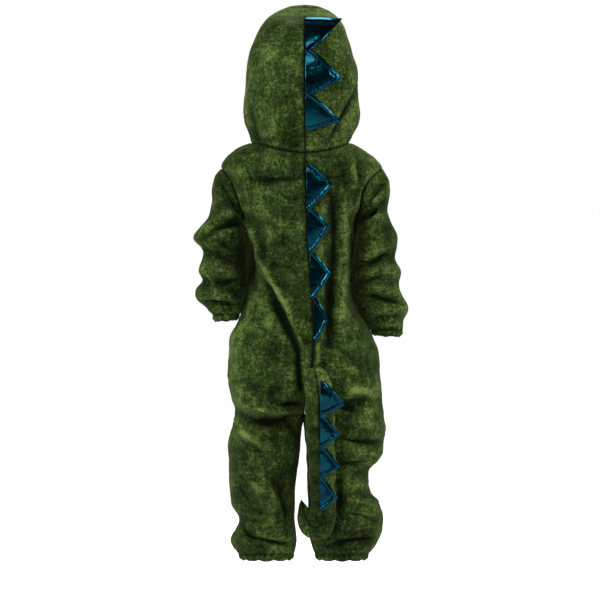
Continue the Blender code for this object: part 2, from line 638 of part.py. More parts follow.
def build():
    """Makes every piece of the costume."""
    for old in list(bpy.data.objects):
        bpy.data.objects.remove(old, do_unlink=True)
    plush = material("green_plush", PLUSH)
    foil = material("teal_foil_cloth", FOIL)
    for side in SIGN:
        wall_mesh("back_" + side, *body_panel(side, False, BACK_STEPS), False, plush)
        wall_mesh("front_" + side, *body_panel(side, True, FRONT_STEPS), False, plush)
        wall_mesh("sleeve_" + side, *sleeve_rings(side), True, plush)
        wall_mesh("hood_" + side, *hood_panel(side, False, BACK_STEPS), False, plush)
        wall_mesh("hood_brow_" + side, *hood_panel(side, True, BROW_STEPS), False, plush)
        tail_half(side, plush)
    for number, row in enumerate(HOOD_SPIKES, 1):
        spike(f"spike_hood_{number}", row, hood_depth, SPIKE_ROOT, 2 * SPIKE_STEPS - 1, foil)
    for number, row in enumerate(BACK_SPIKES, 1):
        level = level_at(BODY_TABLE["z_back"], row[:2].mean())
        seam = float(along(BODY_TABLE["seam_back"], level))
        spike(f"spike_back_{number}", row, back_depth, seam + SPIKE_ROOT, SPIKE_STEPS, foil)
    for number, row in enumerate(TAIL_SPIKES, 1):
        spike(f"spike_tail_{number}", row, tail_depth, TAIL_ROOT_X, SPIKE_STEPS, foil)


build()
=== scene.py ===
import math

import bmesh
import bpy
import numpy as np
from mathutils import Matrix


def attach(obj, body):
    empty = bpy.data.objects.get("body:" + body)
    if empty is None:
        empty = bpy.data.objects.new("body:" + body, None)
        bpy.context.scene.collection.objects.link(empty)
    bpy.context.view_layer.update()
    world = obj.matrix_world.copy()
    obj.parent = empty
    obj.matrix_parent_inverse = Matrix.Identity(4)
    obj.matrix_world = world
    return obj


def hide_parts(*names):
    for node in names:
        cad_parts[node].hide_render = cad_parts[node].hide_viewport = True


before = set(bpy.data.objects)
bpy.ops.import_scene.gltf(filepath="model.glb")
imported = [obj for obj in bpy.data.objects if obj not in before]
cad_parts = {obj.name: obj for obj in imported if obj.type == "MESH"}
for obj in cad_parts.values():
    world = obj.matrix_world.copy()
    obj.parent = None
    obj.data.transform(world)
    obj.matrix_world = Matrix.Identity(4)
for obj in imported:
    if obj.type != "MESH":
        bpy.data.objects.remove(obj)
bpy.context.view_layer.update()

# Child's dinosaur costume, worn and hollow. Lengths in the tables are millimetres.
# The shape's own tables come first, the same as the solids have, and those of finer creases after them.
MM = 0.001
EPS = 1e-3
SHELL = 1.7
HALF_SEAM = 0.15
ARM_PANEL, ARM_SLEEVE = 1.004, 0.996
SIDE_EDGE = 0.0022
FOLD_SIDE_FADE = 0.35
FOLD_SEAM_FADE = 0.1
FOLD_NECK_LEVELS = 3
FOLD_END = 0.35
DEEPEST_UNDER_SPIKE = -3
BROW_RISE = 0.9
BROW_RISE_LEVELS = 4
FINE_LEVELS = 2000
SPIKE_CLEAR = 0.7
SPIKE_WRAP = 0.8
SPIKE_BULGE = 0.12
SPIKE_CURVE = 1.3
SPIKE_ROOT = 0.4
SPIKE_BAND = 0.13
TAIL_ROOT_X = 27.0


def table(text):
    """A table's named columns: its first line holds the names, and each line after it is one row."""
    names, *rows = [line.split() for line in text.strip().splitlines()]
    return dict(zip(names, np.array(rows, float).T))


# Body levels: heights at centre back, side and centre front; side reach left and right; seam line at back and
# front; how far the legs have parted (0 whole, 1 at the crotch); gap from the crotch line to each leg; depths
# behind and in front; roundness; where the widest line lies in depth.
BODY = table("""
z_back z_side z_front out_left out_right seam_back seam_front split gap_left gap_right back front round y_side
2 22 -14 97 80 0 0 0 0 0 78 74 2.2 0
-8 15 -24 117 97 0 0 0 0 0 83 79 2.1 1
-18 5 -34 132 112 0 0 0 0 0 87 84 2.1 3
-30 -7 -45 143 126 0 0 0 0 0 90 87 2.2 5
-44 -23 -56 150 139 1 0 0 0 0 92 90 2.3 7
-60 -45 -70 146 134 2 0 0 0 0 94 92 2.25 9
-78 -68 -86 138 123 2 0 0 0 0 95 95 2.25 11
-98 -92 -102 124 109 3 0 0 0 0 95 97 2.25 13
-122 -120 -122 108 91 4 0 0 0 0 95 99 2.25 15
-150 -150 -150 106 91 4 0 0 0 0 94 100 2.25 17
-180 -180 -180 104 87 6 0 0 0 0 93 101 2.25 18
-212 -212 -212 104 85.5 9 0 0 0 0 93 101 2.25 18
-245 -245 -245 106 86.5 12 0 0 0 0 95 101 2.25 17
-275 -275 -275 113 94 14 0 0 0 0 98 101 2.25 14
-300 -300 -300 121 110 15 0 0 0 0 100 100 2.25 9
-325 -325 -325 135 121 16 0 0 0 0 103 99 2.25 4
-350 -350 -350 137 131 15 0 0 0 0 105 98 2.6 1
-375 -375 -375 138 134 13 0 0.06 0 0 106 96 2.5 0
-400 -400 -400 139 136 10 0 0.28 0 0 106 94 2.4 0
-425 -425 -425 135 138 6 0 0.56 0 0 102 91 2.4 0
-447 -447 -447 128 139 2 0 0.82 0 0 96 88 2.3 0
-463 -463 -463 126 141 -1 0 0.96 0 0 91 86 2.3 0
-472 -472 -472 127 142 -2 0 1 0 0 88 84 2.3 0
-486 -486 -486 130 143 -3 -3 1 2 1 86 82 2.3 0
-505 -505 -505 136 143 -3 -3 1 4 3 84 80 2.3 0
-528 -528 -528 139 140 -3 -3 1 5 5 81 77 2.3 0
-550 -550 -550 137 132 -3 -3 1 8 6 78 75 2.3 0
-566 -566 -566 137 115 -3 -3 1 11 7 76 73 2.3 0
-586 -586 -586 137 114 -3 -3 1 14 8 74 72 2.3 0
-606 -606 -606 135 117 -3 -3 1 15 8 73 71 2.3 0
-624 -624 -624 132 131 -3 -3 1 15 9 73 72 2.3 0
-641 -641 -641 124 138 -3 -3 1 15 9 72 72 2.3 0
-657 -657 -657 119 140 -3 -3 1 15 8 71 72 2.3 0
-673 -673 -673 125 138 -3 -3 1 13 8 70 71 2.3 0
-690 -690 -690 134 134 -3 -3 1 11 12 68 70 2.2 0
-704 -704 -704 131 126 -3 -3 1 13 16 65 67 2.2 0
-717 -717 -717 120 115 -3 -3 1 17 21 60 62 2.1 0
-729 -729 -729 116 112 -3 -3 1 20 24 57 59 2.1 0
""")
# Armholes: levels of top and bottom, and how far round towards the back and front seam they reach.
ARM_TOP, ARM_BOTTOM = 4, 8
ARM_MIDDLE, ARM_HALF = (ARM_TOP + ARM_BOTTOM) / 2, (ARM_BOTTOM - ARM_TOP) / 2
ARM_BACK = {"left": 0.25, "right": 0.37}
ARM_FRONT = {"left": 0.25, "right": 0.25}

# Hood levels: heights at centre back, ear and front; reach left and right; depth behind the ear line and in
# front of it; where the ear line lies; how far round the brow band runs, in degrees; roundness.
HOOD = table("""
z_back z_side z_front out_left out_right back front ear face round
2 22 -14 97 80 78 74 0 60.1 2.2
18 33 6 99 82 83 80 1 56 2.2
34 44 28 103 87 90 86 2 51 2.2
54 60 54 109 94 98 90 4 47 2.2
78 80 80 111 98 104 91 6 45 2.2
110 110 114 108 96 107 90 8 44 2.2
149 149 158 106 94 106 86 11 44 2.2
181 181 198 101 86 99 79 13 45 2.2
207 207 234 91 78 86 71 15 48 2.2
226 226 257 82 72 70 63 16 52 2.2
240 240 270 70 62 50 56 17 56 2.2
249 249 276 50 44 27 52 18 58 2.1
252 252 278 0 0 0 50 18 60 2.0
""")

# Largest folds of back and front: a line from (x0, z0) to (x1, z1), half width, height out of the cloth.
BACK_FOLDS = table("""
x0 z0 x1 z1 wide high
-106 -126 -84 -190 13 8
-84 -190 -22 -292 14 9
-22 -292 -4 -350 13 5
-60 -258 -8 -330 12 -7
-95 -46 -8 -45 9 -4
42 -80 44 -330 15 -8
70 -75 70 -320 13 6
82 -8 84 -60 9 5
-128 -432 -12 -462 17 9
-122 -466 -20 -488 13 -8
-130 -488 -76 -514 14 4
-100 -566 -62 -624 16 5
-60 -600 -24 -560 13 -4
-124 -652 -30 -640 13 -5
-126 -690 -26 -684 13 4
62 -420 128 -414 16 8
48 -446 136 -442 13 -8
52 -500 134 -534 13 5
66 -560 118 -576 13 -4
30 -636 130 -652 15 5
34 -672 132 -670 12 -4
""")
FRONT_FOLDS = table("""
x0 z0 x1 z1 wide high
-104 -130 -50 -230 15 6
98 -130 46 -240 15 6
-80 -320 -10 -372 15 5
82 -330 10 -380 15 5
-122 -440 -20 -466 16 7
124 -436 22 -462 16 7
-126 -478 -24 -492 13 -6
128 -476 26 -490 13 -6
-120 -560 -40 -590 15 5
112 -566 30 -588 15 5
-124 -650 -28 -640 14 -5
130 -654 26 -644 14 -5
-124 -690 -26 -684 13 5
128 -690 24 -682 13 5
""")

# Sleeve sections from shoulder to wrist: outer point, inner point, centre depth, half depth.
SLEEVES = {
    "left": table("""
x_outer z_outer x_inner z_inner y_middle deep
157 -31 112.5 -126 4 40
164 -41 111 -131 0 43
167 -60 109.8 -138 -6 45
167 -84 108.4 -146 -11 45
172 -108 107 -154 -16 45
190 -131 105.5 -160 -20 46
199 -150 104.5 -170 -22 46
184 -170 103.6 -184 -23 42
184 -187 103 -199 -24 42
191 -208 103.2 -215 -23 45
184 -226 104 -229 -21 42
196 -243 105 -244 -18 44
194 -260 110 -258 -14 43
178 -275 114.5 -271 -10 38
166 -287 118.5 -284 -6 29
165 -300 122 -298 -3 27
"""),
    "right": table("""
x_outer z_outer x_inner z_inner y_middle deep
147 -36 95 -127 -2 44
152 -47 94.4 -133 -6 47
153 -68 93.6 -141 -11 48
148 -92 92.4 -150 -16 48
152 -118 90.4 -160 -20 47
165 -142 89 -173 -23 47
166 -166 87 -189 -26 45
163 -186 85.7 -204 -27 43
171 -208 84.8 -219 -28 46
167 -229 85.6 -234 -27 43
173 -250 88.2 -252 -25 44
185 -270 94 -268 -21 43
184 -285 101 -283 -16 39
176 -300 110.5 -299 -12 30
175 -313 117.5 -312 -8 26
174 -327 125 -326 -5 25
"""),
}

# Spikes lie over to the wearer's right: root from z to z on the seam, the tip's x and z, how far it lifts.
HOOD_SPIKES = table("""
z_top z_bottom x_tip z_tip off
246 185.2 66 243 26
184.8 105.2 66 134 14
104.8 42 64 58 12
""")
BACK_SPIKES = table("""
z_top z_bottom x_tip z_tip off
-18 -97.2 49 -56 14
-97.6 -176.3 44 -130 16
-176.7 -256.8 46 -214 16
-257.2 -335 41 -296 14
""")
TAIL_SPIKES = table("""
z_top z_bottom x_tip z_tip off
-405 -463.8 70 -447 8
-464.2 -520.8 63 -500 8
-521.2 -575.8 62 -556 7
-576.2 -634 57 -612 6
""")

# Tail sections along its length: centre x and z, half width, half depth, gap from the suit at its front.
TAIL = table("""
x z wide deep clear
17 -381 9 6 -0.2
18 -387 16 12 -0.2
21 -400 22 18 0.1
25 -428 25 22 2
27 -460 26 24 3
28 -500 25 24 4
30 -540 24 23 5
31 -580 23 22 5
32 -615 22 21 5
32 -640 23 21 5
26 -662 25 20 5
11 -664 22 17 6
0 -647 15 12 7
-5 -630 7 7 9
-7 -618 0 0 10
""")
TAIL_HANGING = 10

# Finer creases of back and front: from (x0, z0) to (x1, z1), half width, height, sideways bow, and how sharp.
BACK_CREASES = table("""
x0 z0 x1 z1 wide high bow sharp
-140 -28 -132 -92 7 -4 8 1
-128 -40 -116 -100 8 3 -6 0
-98 -46 -6 -44 5 -1.7 -2 1
-100 -60 -30 -86 8 2.4 4 0
-110 -118 -96 -134 6 5 2 1
-106 -122 -82 -196 6 7 5 1
-105 -144 -94 -244 8 -8 2 1
-90 -176 -52 -246 4.5 6 2 1
-62 -226 -22 -296 4.5 7 2 1
-34 -280 -4 -348 4.5 7 2 1
-84 -212 -42 -292 8 -8 2 1
-58 -262 -12 -352 8 -9 3 1
-98 -236 -66 -300 7 3.4 4 1
-76 -296 -22 -352 7 3 3 0
-112 -300 -60 -344 8 3 5 0
-66 -110 -16 -150 8 2.2 4 0
-60 -78 -10 -82 6 -2 2 1
-46 -200 -8 -214 5 -1.8 2 1
36 -70 34 -160 7 2.6 -3 0
48 -80 48 -210 8 -7 3 1
50 -180 42 -345 9 -9 -3 1
64 -66 70 -200 7 5.5 4 1
72 -180 66 -330 7 6 -3 1
84 -2 87 -60 4 5 2 1
92 -10 108 -60 7 -4 -4 1
112 -34 94 -98 6 4 -4 1
22 -336 22 -378 7 9 0 1
30 -340 96 -370 7 -3 4 1
-14 -340 -4 -430 7 -11 -3 1
-12 -350 -60 -384 6 3 3 1
-110 -352 -40 -392 8 2.6 5 0
-134 -416 -84 -440 8 3 4 1
-126 -436 -6 -458 5 5.5 -11 1
-128 -458 -8 -466 11 -10 -17 1
-46 -446 -4 -447 6 -9 0 1
-124 -480 -62 -526 8 9 -4 1
-132 -484 -88 -502 6 -5 2 1
-40 -470 -10 -520 6 -4.5 3 1
-104 -520 -70 -600 9 4.5 7 0
-92 -560 -52 -626 7 5 6 1
-106 -566 -60 -608 8 6 -8 1
-46 -596 -28 -664 9 -9 2 1
-128 -590 -96 -628 6 -3.4 3 1
-124 -632 -60 -652 6 5 -3 1
-114 -662 -88 -692 6 -7 -3 1
-106 -680 -22 -698 7 -10 -4 1
44 -378 96 -392 8 4 5 0
68 -426 120 -428 7 8 6 1
56 -450 102 -462 10 -8 0 0
84 -484 140 -490 9 5 3 0
60 -508 142 -514 7 -11 -3 1
60 -530 138 -536 7 6 0 1
54 -554 114 -552 7 -8 0 1
60 -566 62 -660 8 -6 0 0
74 -590 118 -604 7 4 4 0
70 -616 134 -640 6 5.5 5 1
66 -640 138 -662 5 -5.4 4 1
60 -668 134 -672 7 5 3 1
40 -702 132 -690 8 -11 6 1
""")
FRONT_CREASES = table("""
x0 z0 x1 z1 wide high bow sharp
-138 -30 -112 -104 7 -4 -6 1
126 -32 98 -104 7 -4 6 1
-108 -120 -48 -210 6 3.5 -6 1
-92 -150 -36 -236 6 -3 -5 1
96 -118 44 -206 6 3.5 6 1
80 -150 30 -240 6 -3 5 1
-70 -250 -8 -320 7 2.6 -5 1
76 -262 10 -330 7 2.6 5 1
-100 -330 -10 -376 6 3 5 1
104 -334 12 -384 6 3 -5 1
-60 -372 -12 -420 6 -3.4 3 1
70 -376 14 -424 6 -3.4 -3 1
-130 -430 -30 -470 6 -4 5 1
-128 -462 -50 -492 6 3.6 -4 1
134 -428 34 -470 6 -4 -5 1
136 -462 50 -494 6 3.6 4 1
-110 -540 -60 -610 7 3 6 0
104 -546 60 -612 7 3 -6 0
-126 -626 -50 -648 5 3.4 -4 1
132 -622 50 -650 5 3.4 4 1
-124 -654 -36 -664 5 -3.4 3 1
134 -656 36 -668 5 -3.4 -3 1
-116 -684 -30 -680 4 2.8 3 1
124 -684 30 -680 4 2.8 -3 1
-80 -20 -20 -34 6 2 -3 0
64 -20 14 -36 6 2 3 0
""")

# Folds of the hood, as seen from behind for its back half; they fade out towards the front.
HOOD_CREASES = table("""
x0 z0 x1 z1 wide high bow sharp
96 124 44 24 8 -13 5 1
82 165 72 88 9 5 3 0
100 88 80 24 8 4 4 0
60 30 20 14 6 2 3 0
-98 88 -78 14 8 -6 -5 1
-40 210 -70 120 10 1.4 -8 0
-30 60 -80 34 7 1.6 4 0
-60 20 -10 14 4 1.6 -2 0
20 150 44 170 5 1.2 2 0
24 92 50 104 5 1.2 2 0
""")

# Bunched folds round the sleeves: row along the sleeve, degrees round it from its outer line by the back,
# drift in rows over a quarter turn, half width in rows, spread in degrees, height.
SLEEVE_FOLDS = {
    "left": table("""
row turn drift wide spread high
2.2 100 -3.7 0.8 75 5
3.3 100 -3.7 0.8 80 -10
4.7 70 -1.8 0.6 60 4
6.3 110 1.0 0.6 60 -4
7.6 80 0.9 0.6 70 -4
8.8 90 0.8 0.7 80 5
9.9 110 -1.2 0.6 60 -5
10.8 68 6.2 0.5 34 4
11.3 135 0.8 0.8 38 -8
11.8 90 0.3 0.5 80 4
12.7 95 0.3 0.6 90 -9
13.5 80 0.2 0.4 100 2.5
3.2 240 1.2 0.7 70 -5
4.8 265 1.2 0.7 70 5
6.8 230 -0.9 0.6 60 -5
8.6 280 0.8 0.6 70 5
9.9 240 0.7 0.5 70 -5
11.2 285 -0.7 0.5 70 4.5
12.5 255 0.4 0.5 90 -6
"""),
    "right": table("""
row turn drift wide spread high
0.6 95 -1.4 0.7 70 5
1.6 95 -1.5 0.8 75 -9
2.9 70 -1.6 0.7 60 4
4.2 120 -1.4 0.6 50 -4
5.9 90 0.5 0.6 75 4
6.8 95 0.5 0.7 80 -10
7.9 60 -0.8 0.6 60 4
8.8 120 0.9 0.6 60 -4
9.5 80 -0.7 0.6 80 4.5
10.4 95 -0.7 0.7 90 -10
11.6 70 0.4 0.6 90 4
12.6 110 0.4 0.5 70 -4
13.4 80 0.3 0.4 100 2.5
2.6 240 1.4 0.7 70 -5
4.4 265 -1.2 0.7 70 5
6.4 230 -0.9 0.6 60 -6
8.2 280 0.8 0.6 70 5
9.6 245 0.7 0.5 70 -5
10.8 280 -0.7 0.5 70 4.5
12.0 250 0.5 0.5 90 -6
"""),
}

SEAM_DIP = 1.1
SEAM_WIDE = 2.6
PUCKER = 0.35
PUCKER_PITCH = 8.0
GATHER = 1.5
GATHER_PITCH = 11.0
CASING = 13.0
CASING_MARK = 1.5
SEAM_MARK = 1.6
ROUND_MARK = 1.8
CALM = 9
SLEEVE_REST = 3.0
PRESSED_LEVEL, PRESSED_LEVELS = 10.5, 2.2
CUFF_ROW, FILL_ROWS = 13.2, 0.9
BROW_HEM = 11
SPIKE_STITCH = 6.8
UNDERARM_SHADE = 0.8
UNDERARM_FILL = {"left": 1.0, "right": 3.6}
CUFF_FILL = {"left": 4.2, "right": 3.0}
HEM_TURN = 2.4
HEM_WAVE = 0.9
HEM_FLAT, HEM_FADE = 6, 14
# Painted highlight of the brow band.
BROW_PAINTED_LIGHT = 0.6
TAIL_MEET = 0.3
# Painted light and shade of the tail: its right side coloured lighter and its left side darker, fading out at
# the curl.
TAIL_SIDE_LIGHT = {"left": -0.1, "right": 0.3}
TAIL_CURL = -640
TUCK_NEAR = 0.6
TUCK_DEEP = 4.0
TUCK_PAST = 0.4
NECK_PAST = 4.0
WAVES = 14
RIDGE_FULL, TROUGH_FULL = 12, 4.5
CLOTH_SMOOTHING, TAIL_SMOOTHING = 26, 12

PLUSH_DARK = (0.0015, 0.0035, 0.0008, 1)
PLUSH_MID = (0.021, 0.040, 0.0065, 1)
PLUSH_LIGHT = (0.145, 0.210, 0.052, 1)
BACKING = (0.050, 0.070, 0.030, 1)
FOIL_DEEP = (0.000, 0.012, 0.026, 1)
FOIL_BRIGHT = (0.000, 0.056, 0.074, 1)
FOIL_EDGE = (0.06, 0.50, 0.62, 1)
SHEEN = (0.50, 0.70, 0.22, 1)
PILE_SHADE = -2.06
# Painted shade: below this depth under the origin, in metres, the colour darkens down the legs.
LEG_SHADE_FROM = 0.40


def bell(away, wide):
    """A bell curve: 1 where the distance is 0, falling as e to the minus square of distance over width."""
    return np.exp(-((away / wide) ** 2))


def unit(value):
    """The value kept between 0 and 1."""
    return np.clip(value, 0, 1)


def along(values, at):
    """A smooth curve through values or rows of points at 0, 1, 2 and so on: cubic pieces, matching slopes."""
    last = len(values) - 1
    slope = np.gradient(values, axis=0)
    at = np.clip(at, 0, last)
    left = np.minimum(at.astype(int), last - 1)
    t = (at - left).reshape(at.shape + (1,) * (values.ndim - 1))
    cubic = (2 * t**3 - 3 * t**2 + 1) * values[left] + (3 * t**2 - 2 * t**3) * values[left + 1]
    return cubic + ((t**3 - 2 * t**2 + t) * slope[left] + (t**3 - t**2) * slope[left + 1])


SIGN = {"left": -1, "right": 1}
LAST_LEVEL = len(BODY["round"]) - 1
LAST_RING = len(HOOD["round"]) - 1


def fold_height(rows, x, z):
    """Height of the folds at (x, z): each is a soft ridge or trough along its line, fading at both ends."""
    total = np.zeros(np.broadcast(x, z).shape)
    for x0, z0, x1, z1, wide, high in zip(*rows.values()):
        length = math.hypot(x1 - x0, z1 - z0)
        run = ((x - x0) * (x1 - x0) + (z - z0) * (z1 - z0)) / length**2
        near = unit(run)
        away = np.hypot(x - x0 - near * (x1 - x0), z - z0 - near * (z1 - z0))
        fade = FOLD_END + (1 - FOLD_END) * np.sin(np.pi * near)
        total += high * fade * bell(away, wide)
    return total


def oval(angle, wide, deep, power):
    """Distance from the middle of a rounded oval to its edge at an angle from its side."""
    across = np.abs(np.cos(angle)) / wide
    along_depth = np.abs(np.sin(angle)) / deep
    return (across**power + along_depth**power) ** (-1 / power)


def body_wide(level, side, front):
    """Half width of one side's oval, its middle and the seam line, from reach and parting."""
    seam = along(BODY["seam_front" if front else "seam_back"], level)
    gap = np.maximum(along(BODY["gap_" + side], level), 0)
    split = unit(along(BODY["split"], level))
    reach = along(BODY["out_" + side], level) - SIGN[side] * seam
    wide = (reach - gap) / (1 + split)
    return wide, split * wide + gap, seam


def body_depth(level, front):
    """Half depth of the front or back half oval, and where the widest line lies in depth."""
    shift = along(BODY["y_side"], level)
    depth = along(BODY["front" if front else "back"], level)
    return (depth - shift if front else depth + shift), shift


def body_base(side, level, angle):
    """The smooth suit: half ovals stacked from neck to hem, the angle running from -1 at the back seam over 0
    at the side to 1 at the front seam."""
    level, angle = np.broadcast_arrays(level, angle)
    points = []
    for front in (False, True):
        wide, middle, seam = body_wide(level, side, front)
        depth, shift = body_depth(level, front)
        power = along(BODY["round"], level)
        split = unit(along(BODY["split"], level))
        rise = (1 - split**power) ** (1 / power)
        turn = np.arctan2(rise * depth, -split * wide) * angle
        reach = oval(turn, wide, depth, power)
        x = SIGN[side] * (middle + reach * np.cos(turn)) + seam
        y = shift + reach * np.sin(turn)
        z_side = along(BODY["z_side"], level)
        z_mid = along(BODY["z_front" if front else "z_back"], level)
        tilt = np.sin(unit(np.abs(angle)) * np.pi / 2) ** 2
        points.append(np.stack([x, y, z_side + (z_mid - z_side) * tilt], -1))
    return np.where((angle > 0)[..., None], points[1], points[0])


def normals(surface, side, level, angle, outward=1):
    """Unit normals of a surface from its slopes along the level and round the angle."""
    rise = surface(side, level + EPS, angle) - surface(side, level - EPS, angle)
    turn = surface(side, level, angle + EPS) - surface(side, level, angle - EPS)
    cross = np.cross(turn, rise) * SIGN[side] * -outward
    return cross / np.maximum(np.linalg.norm(cross, axis=-1, keepdims=True), 1e-12)


def body_surface(side, level, angle):
    """The suit with its largest folds, raised along the smooth suit's normals and fading at the side seam."""
    level, angle = np.broadcast_arrays(level, angle)
    base = body_base(side, level, angle)
    inside = np.clip(level, 2 * EPS, LAST_LEVEL - 2 * EPS)
    out = normals(body_base, side, inside, angle)
    out[..., 0] *= 1 - bell(np.abs(angle) - 1, FOLD_SEAM_FADE)
    facing = unit(np.abs(angle) / FOLD_SIDE_FADE)
    facing = facing * facing * (3 - 2 * facing)
    back = fold_height(BACK_FOLDS, base[..., 0], base[..., 2])
    front = fold_height(FRONT_FOLDS, base[..., 0], base[..., 2])
    high = np.where(angle > 0, front, back) * facing
    high *= unit(level / FOLD_NECK_LEVELS)
    return base + out * high[..., None]


def hood_surface(side, level, angle):
    """The hood: rings round an ear line, from the back seam at -1 over the ear at 0 to the front at 1."""
    level, angle = np.broadcast_arrays(level, angle)
    value = {name: along(column, level) for name, column in HOOD.items()}
    wide = np.maximum(value["out_" + side], 0)
    depth = np.where(angle > 0, value["front"], np.maximum(value["back"], 0))
    turn = angle * np.pi / 2
    safe = np.maximum(wide, 1e-6)
    reach = oval(turn, safe, np.maximum(depth, 1e-6), value["round"])
    # Towards the crown the brow follows a plain ellipse, so that its top row runs forward on the seam.
    plain = np.where(angle > 0, unit((level - 1) / BROW_RISE_LEVELS), 0)
    tilt = np.abs(np.sin(turn)) ** (2 - BROW_RISE * plain)
    z_mid = np.where(angle > 0, value["z_front"], value["z_back"])
    z = value["z_side"] + (z_mid - value["z_side"]) * tilt
    x, y = reach * np.cos(turn), reach * np.sin(turn)
    x += plain * (wide * np.cos(turn) - x)
    y += plain * (depth * np.sin(turn) - y)
    return np.stack([SIGN[side] * x, value["ear"] + y, z], -1)


def arm_reach(side, level, front, grow):
    """How far round the armhole's oval edge lies at a level, made larger or smaller by a share."""
    share = unit(1 - ((level - ARM_MIDDLE) / (ARM_HALF * grow)) ** 2)
    table = ARM_FRONT if front else ARM_BACK
    return table[side] * grow * np.sqrt(share)


def level_at(column, z):
    """The level at which a falling or rising column of heights reaches z."""
    levels = np.linspace(0, len(column) - 1, FINE_LEVELS)
    heights = along(column, levels)
    order = np.argsort(heights)
    return np.interp(z, heights[order], levels[order])


def back_depth(x, z):
    """How far behind the origin the suit's back lies at (x, z), folds included."""
    level = level_at(BODY["z_back"], z)
    found = []
    for name in ("left", "right"):
        wide, middle, seam = body_wide(level, name, False)
        depth, shift = body_depth(level, False)
        power = along(BODY["round"], level)
        share = np.clip(np.abs(SIGN[name] * (x - seam) - middle) / wide, 0, 0.98)
        found.append(depth * (1 - share**power) ** (1 / power) - shift)
    folds = np.maximum(fold_height(BACK_FOLDS, x, z), DEEPEST_UNDER_SPIKE)
    return np.where(x < 0, found[0], found[1]) + folds


def hood_depth(x, z):
    """How far behind the origin the back of the hood lies at (x, z)."""
    level = level_at(HOOD["z_back"], z)
    wide = np.maximum(along(HOOD["out_right"], level), 1)
    depth = along(HOOD["back"], level)
    power = along(HOOD["round"], level)
    share = np.clip(np.abs(x) / wide, 0, SPIKE_WRAP)
    return depth * (1 - share**power) ** (1 / power) - along(HOOD["ear"], level)


def tail_depth(x, z):
    """How far behind the origin the tail's back lies at (x, z), from its own oval sections."""
    at = level_at(TAIL["z"][:TAIL_HANGING], z)
    middle, wide, deep = (along(TAIL[name], at) for name in ("x", "wide", "deep"))
    share = np.clip(np.abs(x - middle) / wide, 0, SPIKE_WRAP)
    return along(tail_centres(), at) + deep * np.sqrt(1 - share**2)


def tail_centres():
    """Depth of the tail's middle line: it rests on the suit at its root and hangs a little clear below."""
    widths = np.linspace(-0.7, 0.7, 7)[:, None]
    suit = back_depth(TAIL["x"] + widths * TAIL["wide"], TAIL["z"]).max(0)
    return suit + TAIL["clear"] + TAIL["deep"]


def crease_height(rows, x, z):
    """Height of the creases at (x, z): each runs along a shallow bow, sharp ones with a peaked section, and
    fades to nothing at both ends."""
    total = np.zeros(np.broadcast(x, z).shape)
    for x0, z0, x1, z1, wide, high, bow, sharp in zip(*rows.values()):
        length = math.hypot(x1 - x0, z1 - z0)
        ux, uz = (x1 - x0) / length, (z1 - z0) / length
        run = ((x - x0) * ux + (z - z0) * uz) / length
        near = unit(run)
        side = (x - x0) * -uz + (z - z0) * ux - bow * 4 * near * (1 - near)
        past = (run - near) * length
        away = np.hypot(side, past) / wide
        soft = np.exp(-(away**2))
        peaked = np.exp(-1.5 * (np.sqrt(away**2 + 0.12) - 0.346))
        total += high * np.sin(np.pi * (0.08 + 0.84 * near)) * (soft + sharp * (peaked * soft**0.3 - soft))
    return total


def unevenness(points, size, seed):
    """Soft random waves of about one size: a sum of sines in seeded directions, from -1 to 1 or so."""
    random = np.random.default_rng(seed)
    ways = random.normal(size=(WAVES, 3))
    ways /= np.linalg.norm(ways, axis=1, keepdims=True)
    ways *= 2 * np.pi / (size * random.uniform(0.7, 1.5, (WAVES, 1)))
    return np.sin(points @ ways.T + random.uniform(0, 6.3, WAVES)).sum(-1) / math.sqrt(WAVES)


def steps_between(points, axis):
    """Distance run along a grid's rows or columns, from its first point."""
    step = np.linalg.norm(np.diff(points, axis=axis), axis=-1)
    start = np.zeros_like(np.take(step, [0], axis))
    return np.concatenate([start, np.cumsum(step, axis)], axis)


def grid_normals(points, outward, tube):
    """Unit normals of a grid of points, from its neighbours along rows and columns."""
    down = np.gradient(points, axis=0)
    across = (np.roll(points, -1, 1) - np.roll(points, 1, 1)) if tube else np.gradient(points, axis=1)
    cross = np.cross(across, down) * outward
    return cross / np.maximum(np.linalg.norm(cross, axis=-1, keepdims=True), 1e-12)


def smoothed(values, times, tube):
    """The grid's values after repeated averaging with their neighbours."""
    for _ in range(times):
        pad = np.concatenate([values[:1], values, values[-1:]], 0)
        values = (pad[:-2] + 2 * values + pad[2:]) / 4
        if tube:
            left, right = np.roll(values, 1, 1), np.roll(values, -1, 1)
        else:
            left = np.concatenate([values[:, :1], values[:, :-1]], 1)
            right = np.concatenate([values[:, 1:], values[:, -1:]], 1)
        values = (left + 2 * values + right) / 4
    return values


def seam_dip(away, along_seam):
    """The dip and small puckers of a sewn seam, from the distance to it and the run along it."""
    dip = -SEAM_DIP * bell(away, SEAM_WIDE)
    wobble = np.sin(2 * np.pi * along_seam / PUCKER_PITCH + 1.7 * np.sin(along_seam / 23.0))
    return dip + PUCKER * wobble * bell(away - 3, 5)


def gathers(up, around):
    """A sewn casing with elastic: pleats across the edge that fade upwards, and a stitched line above it."""
    drift = 2.6 * np.sin(around / 17.0) + 1.3 * np.sin(around / 41.0)
    wave = np.sin(2 * np.pi * around / GATHER_PITCH + drift)
    wave *= 0.65 + 0.35 * np.sin(around / 13.0 + 1)
    fade = bell(np.maximum(up - CASING, 0), 18)
    channel = -0.7 * bell(up - CASING, 2.0)
    puff = 0.9 * np.sin(np.pi * unit(up / CASING))
    return GATHER * wave * fade * unit(0.35 + up / 9) + channel + puff


def fold_shade(ridge):
    """Painted shade and highlight of a fold, from -1 to 1: how much lighter its ridge and darker its trough
    colour the cloth; troughs darken sooner than ridges lighten.
    """
    return np.clip(np.where(ridge > 0, ridge / RIDGE_FULL, ridge / TROUGH_FULL), -1, 1)


def hem_turn(up):
    """How far a hem turns in over its last few millimetres."""
    return HEM_TURN * bell(up, 2.6)


